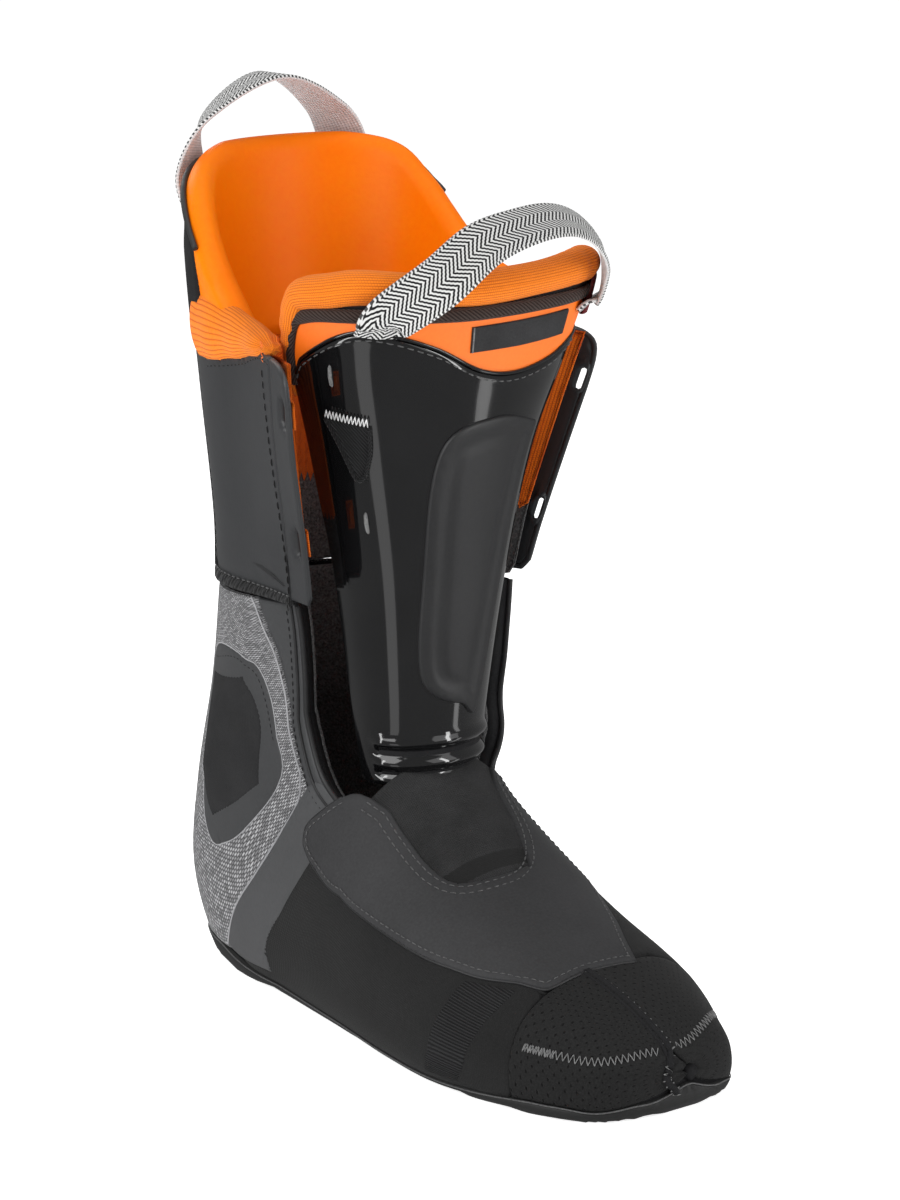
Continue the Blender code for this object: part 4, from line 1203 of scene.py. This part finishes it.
# Panels round the ankle and the throat
BAND = [(0.8, -THROAT_S), (0.44, -THROAT_S), (0.46, -0.40), *BAND_EDGE]
QUARTER = [*BAND_EDGE, (0.8, -0.75), (0.8, -1), (0.568, -1), (0.56, -0.86), (0.545, -0.76), (0.525, -0.7),
           (0.522, -0.7), (0.527, -0.62), (0.524, -0.487)]
# Path of the pale edge line whose colour is a painted highlight
QUARTER_HIGHLIGHT_LINE = [(0.53, -0.7), (0.534, -0.6), (0.53, -0.5), (0.534, -0.42), (0.552, -0.397), (0.62, -0.409),
             (0.69, -0.437), (0.745, -0.468), (0.8, -0.488)]


def pad_crown(uv, points, distance):
    return 0.9 * smooth(distance, 0, 9)


for side, way, turn in SIDES:
    textile = f"quarter_{side}_textile"
    sewn(f"throat_band_{side}", "film", "film", "foot_foam_shell", foot, turn(BAND), 0, 1.45, FILM_DARK,
         edge=0.9, grid=3)
    sewn(f"quarter_{side}", "textile", "grey_woven", "foot_foam_shell", foot, turn(QUARTER), 0.1, 1.4, WOVEN,
         edge=0.9, corners=(0, 5, 7, 8))
    sewn(f"side_film_{side}", "strip", "film", textile, foot, turn(SIDE_FILM), 0.8, 0.95, FILM_GREY,
         edge=1.2, grid=3, corners=(0, 9))
    sewn(f"ankle_film_{side}", "border", "film", textile, foot, turn(FILM), 1.35, 0.5, FILM_DARK, edge=0.8,
         grid=3, corners=())
    pad = patch(f"ankle_pad_{side}_cushion", foot, turn(PAD), 1.7, 0.6, PAD_FABRIC, edge=1.6, grid=3,
                corners=(0, 1, 3, 4, 5), shape=pad_crown)
    stand_in(pad, "black_stretch", f"ankle_pad_{side}", fill=0.5)
    # Pale edge lines: their pale grey is a painted highlight on the raised film edges
    edging(f"quarter_edge_highlight_{side}", foot, turn(QUARTER_HIGHLIGHT_LINE), 1.55, 0.5, EDGE_HIGHLIGHT, flat=0.5, corners=(4,))
    edging(f"ankle_film_edge_{side}", foot, turn(FILM), 1.6, 0.32, EDGE_HIGHLIGHT, flat=0.6, closed=True)
    for k, (s, d, radius) in enumerate(((0.357, 0.9, 1.15), (0.377, 1.55, 0.7))):
        line = [(u, -s) for u in (0.447, 0.5, 0.6, 0.7, 0.797)]
        edging(f"throat_piping_{side}_{k + 1}", foot, turn(line), d, radius, PIPING)
    stitches(f"throat_stitches_{side}", foot, turn([(0.47, -0.389), (0.6, -0.391), (0.79, -0.394)]), 1.55,
             DARK_THREAD, long=2.0, gap=1.2, radius=0.24)
    stitches(f"pad_stitches_{side}", foot, turn([(0.727, -0.672), (0.705, -0.512), (0.60, -0.443)]), 1.9,
             DARK_THREAD, long=1.6, gap=1.0, radius=0.15)


def round_the_sole(half):
    """A half outline, and back along the other side to where it began."""
    return [*half, *[(u, 2 - s) for u, s in reversed(half[:-1])]]


sole_outline = [(0.012, 0.93), *round_the_sole(SOLE_EDGE), (0.012, 1.07)]
stand_in(patch("outsole_rubber", foot, sole_outline, 0.35, 1.9, RUBBER, edge=1.1, grid=4, corners=()),
         "rubber", "outsole")
edging("outsole_rim_line", foot, sole_outline, 1.9, 0.28, SOFT_THREAD, closed=True)
bed = round_the_sole([(0.125, 0.88), (0.14, 0.85), (0.17, 0.82), (0.22, 0.82), (0.3, 0.84), (0.38, 0.86),
                      (0.46, 0.87), (0.485, 0.9), (0.49, 1.0)])
insole = patch("footbed_insole", foot, bed, -10.9, 3.6, BLACK_FLEECE, edge=2.5, grid=5, corners=(), solid=1.5)
stand_in(insole, "fleece", "footbed", fill=0.6)


# Cuff -----------------------------------------------------------------------------------------

LINING_SPLIT = 195
ROLL_TOP = ((0.36, 0.45, 0.55, 0.65, 0.74, 0.80), (281, 281, 278, 275, 272.5, 271))
ROLL_FOOT = ((0.36, 0.44, 0.6, 0.72, 0.80), (254.5, 255, 260, 264.5, 267))
COLLAR_RIM = ((-0.60, -0.56, -0.5, -0.45, -0.38, -0.3, -0.2, -0.1, 0, 0.3, 0.42, 0.52, 0.65, 0.8),
              (272, 279, 291, 301, 313, 323, 329.5, 332.5, 334, 329.5, 318, 305, 290, 281))
COLLAR_FOOT = ((-0.6, -0.5, -0.4, 0, 0.4, 0.6, 0.8), (268, 262, 253, 253, 253, 262, 266))


def cuff_outline(points):
    return [(float(cuff_t(z, v)), v) for z, v in points]


def at_height(z):
    """An edge for wall() at one height in millimetres."""
    return lambda v: cuff_t(z, v)


around_cuff = np.linspace(-0.833, 0.833, 131)
stand_in(wall("cuff_foam_shell", cuff, level(-0.018), at_height(262), around_cuff, 30, -0.1, -5.2,
              PANEL_FABRIC, soft=(2, 2, 2.4, 2.4)), "foam", "cuff_foam", fill=1)
stand_in(wall("cuff_fleece_lining", cuff, level(-0.03), at_height(LINING_SPLIT + 4), around_cuff, 40, -5.0,
              -6.9, BLACK_FLEECE, soft=(0.3, 0.6, 0.8, 0.8)), "fleece", "cuff_lining_lower", fill=0.4)


def torn_foot(v):
    """The lining's raw lower edge, cut in uneven points."""
    saw = np.abs((v * 61 + 0.35 * np.sin(v * 40)) % 1 - 0.5) * 2
    return cuff_t(LINING_SPLIT - 1 + 4.5 * saw * (0.6 + 0.4 * np.sin(v * 23)), v)


stand_in(wall("upper_lining_knit", cuff, torn_foot, at_height(263), np.linspace(-0.835, 0.835, 600), 26, -5.6,
              -7.2, RUST, soft=(0.3, 0.6, 0.8, 0.8)),
         "rust_lining", "cuff_lining_upper", held="stretched", on=["cuff_foam_shell"], layers=2)
for side, way, turn in SIDES:
    for k, v in enumerate((0.60, 0.745)):
        line = cuff_outline([(z, way * v) for z in (202, 220, 240, 258)])
        stitches(f"lining_stitches_{side}_{k + 1}", cuff, line, -7.3, ORANGE_THREAD, long=2.4, gap=1.0,
                 radius=0.25)

# Outer panels of the cuff
WALL_TOP = [(256, -0.3), (256, -0.44), (260, -0.58), (264, -0.68), (267.5, -0.778), (266.5, -0.842)]
panel = [(0.02, -0.3), *cuff_outline(WALL_TOP), (0.02, -0.842)]


def panel_relief(uv, points, distance):
    """A low step across the panel's foot, and a slight fullness in the middle."""
    z = points[:, 2] - CENTRE[2]
    step = 181 - 9 * smooth(-np.abs(uv[:, 1]), -0.82, -0.5)
    return 0.55 * smooth(z, step - 1.2, step + 1.2) + 0.35 * smooth(distance, 0, 20) - 0.3


wedge = cuff_outline([(177.5, -0.40), (178.6, -0.5), (177.3, -0.6), (175.2, -0.7), (173.5, -0.8),
                      (174.2, -0.8), (177.2, -0.7), (181.2, -0.6), (184.6, -0.5), (185.6, -0.40)])
front_seam = cuff_outline([(168, -0.842), (190, -0.834), (215, -0.814), (240, -0.796), (262, -0.778)])
top_line = cuff_outline([(z - 3, v) for z, v in WALL_TOP[1:]])
back_line = [(0.06, -0.325), *cuff_outline([(200, -0.325), (230, -0.325), (254, -0.325)])]
for side, way, turn in SIDES:
    sewn(f"cuff_panel_{side}", "pu", "charcoal_pu", "cuff_foam_shell", cuff, turn(panel), 0.2, 1.3, CUFF_PU,
         edge=0.9, grid=3, shape=panel_relief)
    flash = patch(f"cuff_flash_{side}", cuff, turn(wedge), 1.2, 0.75, PIPING, edge=0.5, grid=3, step=1.5,
                  corners=(0, 4, 5, 9))
    stand_in(flash, "charcoal_pu")
    stitches(f"cuff_seam_stitches_{side}", cuff, turn(front_seam), 1.95, DARK_THREAD, long=3.1, gap=1.2,
             radius=0.34)
    edging(f"cuff_seam_groove_{side}", cuff, turn(front_seam), 1.35, 0.5, PIPING, flat=0.7)
    stitches(f"cuff_top_stitches_{side}", cuff, turn(top_line), 1.75, DARK_THREAD, long=2.2, gap=1.1,
             radius=0.25)
    stitches(f"spine_stitches_{side}", cuff, turn(back_line), 1.8, SOFT_THREAD, long=2.4, gap=1.2,
             radius=0.27)

# Slotted flaps on either side, reaching to the seam
FLAP_EDGE = [(0.02, -SEAM - 0.002), (0.02, -0.972), (0.05, -0.993), (0.1, -0.999),
             *cuff_outline([(235, -0.999), (246, -0.998), (255, -0.992), (261, -0.975), (264.5, -0.94),
                            (266, -0.9), (266.5, -SEAM - 0.002)])]


def slot_outline(t, v, long, wide):
    """A rounded slot, long along t."""
    loop = []
    for k in range(12):
        turn = math.pi * (k + 0.5) / 6
        end = long / 2 * (1 if math.cos(turn) > 0 else -1)
        loop.append((t + end + wide * 0.3 * math.cos(turn), v + wide / 2 * math.sin(turn)))
    return loop


def in_metres(point):
    return [float(x) * 0.001 for x in point]


FLAP_SLOTS = (0.25, 0.73)
KNIT_FACING = cuff_outline([(195, 0.83), (193, 0.86), (197, 0.89), (193.5, 0.92), (196, 0.948), (230, 0.951),
                            (264, 0.953), (265, 0.83)])
PILE_FACING = [(-0.035, 0.83), (-0.035, 0.93), (0.04, 0.958), *cuff_outline([(199, 0.944), (199, 0.83)])]
for side, way, turn in SIDES:
    slot_v, slot_wide = (-0.94, 0.034) if side == "lateral" else (-0.974, 0.017)
    slots = [turn(slot_outline(t, slot_v, 0.066, slot_wide)) for t in FLAP_SLOTS]
    flap = patch(f"flap_{side}_pu", cuff, turn(FLAP_EDGE), 0.1, 1.45, CUFF_PU, body=None, holes=slots,
                 edge=1.0, grid=3, corners=(0, 1, 10), solid=1.9)
    fold = in_metres(cuff.at(0.48, way * SEAM)), in_metres(cuff.at(0.48, way * 0.885))
    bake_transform(flap)
    stand_in(flap, "charcoal_pu", f"flap_{side}", held="stretched", on=[f"cuff_panel_{side}_pu"], layers=2)
    if side == "medial":
        facings = [(KNIT_FACING, -3.3, RUST, "rust_lining"), (PILE_FACING, -2.6, BLACK_FLEECE, "fleece")]
    else:
        facings = [([(t - 0.05, -0.915), (t - 0.05, -0.965), (t + 0.05, -0.965), (t + 0.05, -0.915)], -2.5,
                    RUST, "rust_lining") for t in FLAP_SLOTS]
    for k, (edge, d, finish, slot) in enumerate(facings):
        facing = patch(f"flap_{side}_facing_{k + 1}", cuff, edge, d, 0.6, finish, body=None, edge=0.5,
                       grid=4, solid=0.7)
        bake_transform(facing)
        if side == "medial":
            stand_in(facing, slot, held="stretched", on=[f"flap_{side}_pu"], layers=2)


# Bottom hem and the back

def hem_relief(u, v, up, around, full):
    """The tape's slanting cord."""
    return 0.3 * np.sin(around * 2 * math.pi / 3.3 + up * 0.8)


hem = wall("cuff_hem_tape", cuff, level(-0.012), level(0.034), np.linspace(-0.846, 0.846, 260), 10, 2.3, 0.1,
           HEM_TAPE, soft=(1.6, 1.6, 1.2, 1.2), relief=hem_relief)
stand_in(hem, "black_stretch", "cuff_hem", fill=0.8)
stitches("hem_stitches", cuff, [(0.036, v) for v in np.linspace(-0.835, 0.835, 24)], 1.9, SOFT_THREAD,
         long=2.2, gap=1.4, radius=0.26)
for side, way, turn in SIDES:
    stitches(f"hem_tack_{side}", cuff, turn([(-0.035, -0.83), (0.012, -0.846)]), 2.3, DARK_THREAD, gap=0.1,
             radius=0.3, zigzag=4.2)

spine_side = [(0.03, -0.3), *cuff_outline([(256, -0.3), (257, -0.43), (286, -0.432), (301, -0.41),
                                           (309, -0.3), (315, -0.15)])]
spine = [*spine_side, *reversed(mirrored(spine_side))]


def spine_relief(uv, points, distance):
    """Padded channels either side of the heel tendon."""
    v = uv[:, 1]
    return 1.0 * smooth(distance, 1, 10) * (0.7 - 0.7 * bell(np.abs(v), 0.12, 0.02) - 0.9 * bell(v, 0, 0.012))


sewn("spine_panel", "fabric", "black_stretch", "cuff_foam_shell", cuff, spine, 0.3, 2.2, PANEL_FABRIC,
     edge=1.2, grid=3, shape=spine_relief, corners=(0, 1, 2, 11, 12, 13))

# Rear collar: thick moulded foam with a full round rim
collar_vs = eased(161, 0.6) * 1.38 - 0.59


def collar_rim(v):
    """The collar rises in one arch and runs down to the rolls at its sides."""
    curve = spline(np.array(COLLAR_RIM).T * (100, 1), 2.0)
    return cuff_t(np.interp(np.asarray(v) * 100, curve[:, 0], curve[:, 1]), v)


def collar_foot(v):
    return cuff_t(np.interp(v, *COLLAR_FOOT), v)


def collar_relief(u, v, up, around, full):
    """It swells towards the rim and is hollowed lower down."""
    return 1.0 * bell(full - up, 9, 10) - 0.8 * bell(full - up, 45, 22) * (1 - smooth(np.abs(v), 0.25, 0.4))


collar = wall("rear_collar_foam", cuff, collar_foot, collar_rim, collar_vs, 70, 0.9, -10.0, FOAM,
              soft=(6, 8, 7, 7), relief=collar_relief)
stand_in(collar, "orange_foam", "rear_collar", fill=0.9)
edge_line = [(float(collar_rim(v)) - 0.028, v) for v in np.linspace(-0.44, 0.44, 31)]
edging("collar_outer_piping", cuff, edge_line, 2.4, 1.2, PIPING)


# Ribbed rolls along the cuff's rim, gathered at the flap seam

def roll_bulk(length, angle, full):
    """Full at the back, pinched where the seam gathers it."""
    seam = full - 5.0
    pinch = 0.32 * bell(length, seam, 3.0)
    folds = 0.10 * np.sin(angle * 7 + 1.0) * bell(length, seam, 12)
    sag = 0.05 * np.sin(length * 0.33 + 0.6) * np.cos(angle)
    return 1 - pinch + folds + sag


for side, way, turn in SIDES:
    vs = np.linspace(0.36, 0.81, 90)
    top, foot_line = np.interp(vs, *ROLL_TOP), np.interp(vs, *ROLL_FOOT)
    drop = 1.0 * smooth(vs, 0.76, 0.81)
    mid = cuff_t((top + foot_line) / 2 - drop, vs)
    outs = cuff.normal(mid, way * vs)
    tall = (top - foot_line) / 2 + 1.0
    wide = 5.4 + 0.8 * bell(vs, 0.6, 0.15)
    centres = cuff.at(mid, way * vs, -1.4)
    knit = roll(f"collar_roll_{side}_knit", centres, outs, wide, tall, KNIT, roll_bulk)
    stand_in(knit, "orange_knit", f"collar_roll_{side}", fill=0.8)
    rib_ends = cuff_outline([(271, -0.782), (263.5, -0.785)])
    stitches(f"roll_gather_{side}", cuff, turn(rib_ends), 1.6, ORANGE_THREAD, gap=0.2, radius=0.3, zigzag=3.5)


# Tongue ---------------------------------------------------------------------------------------

SHELL_TOP = [(0.775, -1.22), (0.80, -1.08), (0.838, -0.93), (0.878, -0.72), (0.884, -0.52), (0.852, -0.25),
             (0.80, 0), (0.785, 0.2), (0.80, 0.45), (0.83, 0.7), (0.845, 0.95), (0.83, 1.1)]
SHIN = [(0.645, -0.2), (0.70, 0.12), (0.675, 0.5), (0.66, 0.5), (0.14, 0.3), (0.12, 0.05), (0.18, -0.33),
        (0.4, -0.32)]
shell_curve = spline(np.array(SHELL_TOP), 0.02)


def shell_top(s, lower=0.0):
    return np.interp(s, shell_curve[:, 1], shell_curve[:, 0]) - lower


def shell_relief(t, s, up, around, full):
    """Grooves across the instep that let the shell bend, and a lip where it tucks under."""
    z = TONGUE_Z[0] + t * (TONGUE_Z[1] - TONGUE_Z[0])
    side = 1 - smooth(np.abs(s), 0.72, 0.9)
    grooves = 1.3 * bell(z, 113.5, 2.2) - 1.5 * bell(z, 109.0, 1.8) + 1.1 * bell(z, 104.8, 2.0) \
        - 1.4 * bell(z, 100.6, 1.5)
    return grooves * side + 0.5 * bell(up, full, 4)


shell_steps = np.concatenate([np.linspace(0, 0.14, 60), np.linspace(0.14, 1, 70)[1:]])
shell = wall("tongue_shell_gloss", tongue, level(-0.045), shell_top, np.linspace(-1.2, 1.06, 131),
             shell_steps, 0.0, -2.0, GLOSS, soft=(0.8, 1.0, 1.0, 1.0), relief=shell_relief, body="tongue")
stand_in(shell, "gloss_shell", "tongue_shell")
stitches("shell_top_stitches", tongue, [(float(shell_top(s, 0.016)), s) for s in np.linspace(-1.1, 1.0, 27)],
         0.35, SOFT_THREAD, "tongue", long=2.6, gap=1.4, radius=0.3)
edging("shell_top_lip", tongue, [(float(shell_top(s, 0.001)), s) for s in np.linspace(-1.18, 1.05, 29)],
       -0.2, 0.75, GLOSS, "tongue")


def plate_relief(uv, points, distance):
    """A rim, a sunken border and a raised inner field."""
    return -0.85 * smooth(distance, 4.5, 7.0) + 0.5 * smooth(distance, 9.0, 12.0)


stand_in(patch("shin_plate_pu", tongue, SHIN, 0.0, 1.5, SHIN_PU, "tongue", edge=1.0, grid=1.8,
               shape=plate_relief, corners=(2, 3), step=1.5), "shin_pu", "shin_plate")

foam = wall("tongue_foam_body", tongue, level(-0.03), level(0.955), np.linspace(-1.25, 1.12, 131), 40, -0.9,
            -10.2, PANEL_FABRIC, soft=(2.5, 3, 4, 4), body="tongue")
stand_in(foam, "foam", "tongue_foam", fill=0.9)
for node, suffix, low, high, reach, rows, outer, inner, finish, slot, soft in (
        ("tongue_lining", "knit", level(0.0), level(0.95), (-1.12, 1.02, 121), 40, -10.0, -11.8, RUST,
         "rust_lining", (0.8, 1, 1, 1)),
        ("tongue_cover", "panel", lambda s: shell_top(s, 0.03), level(0.915), (-1.16, 1.08, 131), 14, -0.45,
         -1.9, COVER_ORANGE, "orange_foam", (0.4, 0.6, 0.8, 0.8))):
    sheet = wall(f"{node}_{suffix}", tongue, low, high, np.linspace(*reach), rows, outer, inner, finish,
                 soft=soft, body="tongue")
    stand_in(sheet, slot, node, held="stretched", on=["tongue_foam_body"], layers=2)

# The roll's centre line: across the tongue's top, then round both corners and down
ROLL_LINE = [(0.73, -1.25), (0.82, -1.25), (0.895, -1.17), (0.942, -1.0), (0.958, -0.8), (0.968, -0.6),
             (0.962, -0.25), (0.958, 0.0), (0.962, 0.3), (0.968, 0.6), (0.966, 0.86), (0.945, 1.02),
             (0.9, 1.1)]


def tongue_roll_bulk(length, angle, full):
    """Round and full in front, slimmer where it turns down at the sides."""
    slim = 1 - 0.42 * (1 - smooth(length, 8, 40)) - 0.3 * smooth(length, full - 22, full - 4)
    bends = bell(length, 26, 10) + bell(length, full - 24, 10)
    creases = 0.05 * np.sin(length * 0.9) * np.cos(angle) * bends
    return slim + creases + 0.03 * np.sin(length * 0.11 + 1)


line = on_skin(tongue, ROLL_LINE, 1.5)
stand_in(roll("tongue_roll_knit", tongue.at(*line.T, -3.6), tongue.normal(*line.T), 6.9, 6.6, KNIT,
              tongue_roll_bulk, "tongue", tip=6), "orange_knit", "tongue_roll", fill=0.85)

TAPE = [(0.765, -1.2), (0.83, -1.19), (0.882, -1.09), (0.908, -0.93), (0.915, -0.72), (0.914, -0.3),
        (0.912, 0.0), (0.914, 0.4), (0.915, 0.8), (0.908, 1.0), (0.89, 1.06)]
stand_in(edging("tongue_binding_tape", tongue, TAPE, -0.1, 2.7, BINDING, "tongue", flat=0.5, step=0.8),
         "maroon_trim", "tongue_binding", fill=0.8)

label = [(0.835, -0.06), (0.836, 0.2), (0.842, 0.52), (0.892, 0.52), (0.888, 0.2), (0.886, -0.06)]
sewn("tongue_label", "blank", "black_stretch", "tongue_cover_panel", tongue, label, -0.3, 0.75, LABEL, "laid",
     body="tongue", edge=0.5, grid=3, step=1.2)
edging("tongue_label_fold", tongue, [(0.836, -0.053), (0.885, -0.053)], 0.45, 0.35, GREY_THREAD, "tongue",
       flat=0.6)
tab = [(0.872, 0.78), (0.868, 0.93), (0.915, 1.0), (0.955, 0.985), (0.95, 0.8), (0.92, 0.76)]
stand_in(patch("maroon_side_tab", tongue, tab, 1.2, 1.4, MAROON, "tongue", edge=1.2, grid=3, step=1.5,
               corners=(0, 3)), "maroon_trim", "tongue_side_tab")

# Lace keeper with its bar tack, and two small slots in the shell, drawn as pale grey capsules whose
# brightness is a painted highlight
keeper = [(0.715, -0.865), (0.66, -0.80), (0.595, -0.72), (0.585, -0.655), (0.64, -0.60), (0.700, -0.585)]
sewn("lace_keeper", "webbing", "webbing", "tongue_shell_gloss", tongue, keeper, 0.0, 1.5, KEEPER, "folded",
     body="tongue", edge=0.9, grid=2, step=1.2)
keeper_fold = [(0.712, -0.86), (0.66, -0.795), (0.592, -0.715), (0.60, -0.655)]
keeper_edge = [(0.60, -0.655), (0.645, -0.612), (0.692, -0.60)]
edging("lace_keeper_fold", tongue, keeper_fold, 1.7, 0.9, KEEPER, "tongue")
edging("lace_keeper_edge", tongue, keeper_edge, 1.7, 0.6, KEEPER, "tongue")
stitches("lace_keeper_bar_tack", tongue, [(0.722, -0.855), (0.708, -0.60)], 2.0, WHITE_THREAD, "tongue",
         gap=-0.2, radius=0.24, zigzag=3.4)
for k, (t, s) in enumerate(((0.795, -0.80), (0.50, -0.70))):
    line = tongue.at(np.array([t - 0.022, t + 0.022]), s, 0.25)
    # The grey of these capsules is a painted highlight on the slots
    capsules(f"shell_slot_highlight_{k + 1}", line[:1], line[1:], tongue.normal(np.array([t]), s), 0.9, GREY_THREAD,
             "tongue")


# Pull loops -----------------------------------------------------------------------------------

# Points (x, f, z) along each strap, and the ways across it
FRONT_ARCH = [(-25, 178, 297), (-8, 182, 310), (10, 184, 315.5), (29, 182, 316), (46, 177, 310),
              (60, 170, 298)]
REAR_LOOP = [(-19, 16, 303), (-22, 12.5, 320), (-15, 14, 342), (13, 19, 357.5), (42, 17, 342),
             (52, 17, 320), (49, 21.5, 303)]


def placed(points):
    return [np.array((x, HEEL_Y - f, z)) + CENTRE for x, f, z in points]


# Each foot of the front strap: how far up the tongue, and how far out
front_feet = [(0.874, -0.6), (0.894, 1.8), (0.917, 5.6)]
front = [tongue.at(t, -0.47 + (t - 0.925), d) for t, d in front_feet] + placed(FRONT_ARCH) \
    + [tongue.at(t, 0.80, d) for t, d in reversed(front_feet)]
front_ways = [(-0.85, 0.5, 0), (-0.85, 0.5, 0), (-0.82, 0.5, 0.2), (-0.6, 0.6, 0.45), (-0.35, 0.75, 0.55),
              (-0.12, 0.85, 0.52), (0.1, 0.86, 0.5), (0.3, 0.85, 0.4), (0.5, 0.8, 0.25), (0.7, 0.65, 0.1),
              (0.8, 0.6, 0), (0.8, 0.6, 0)]
strap("front_loop_webbing", front, front_ways, "front_loop")
rear_ways = [(0.93, 0.36, 0), (0.93, 0.36, 0), (0.5, 0.85, 0), (0, 1, 0), (-0.5, 0.85, 0), (-0.86, 0.5, 0),
             (-0.86, 0.5, 0)]
strap("rear_loop_webbing", placed(REAR_LOOP), rear_ways, "rear_loop")

# The gusset's placement is baked into its mesh; the two points worked out first are not used
in_metres(foot.at(0.36, 0.0))
in_metres(tongue.at(0.0, 0.0))
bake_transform(gusset)
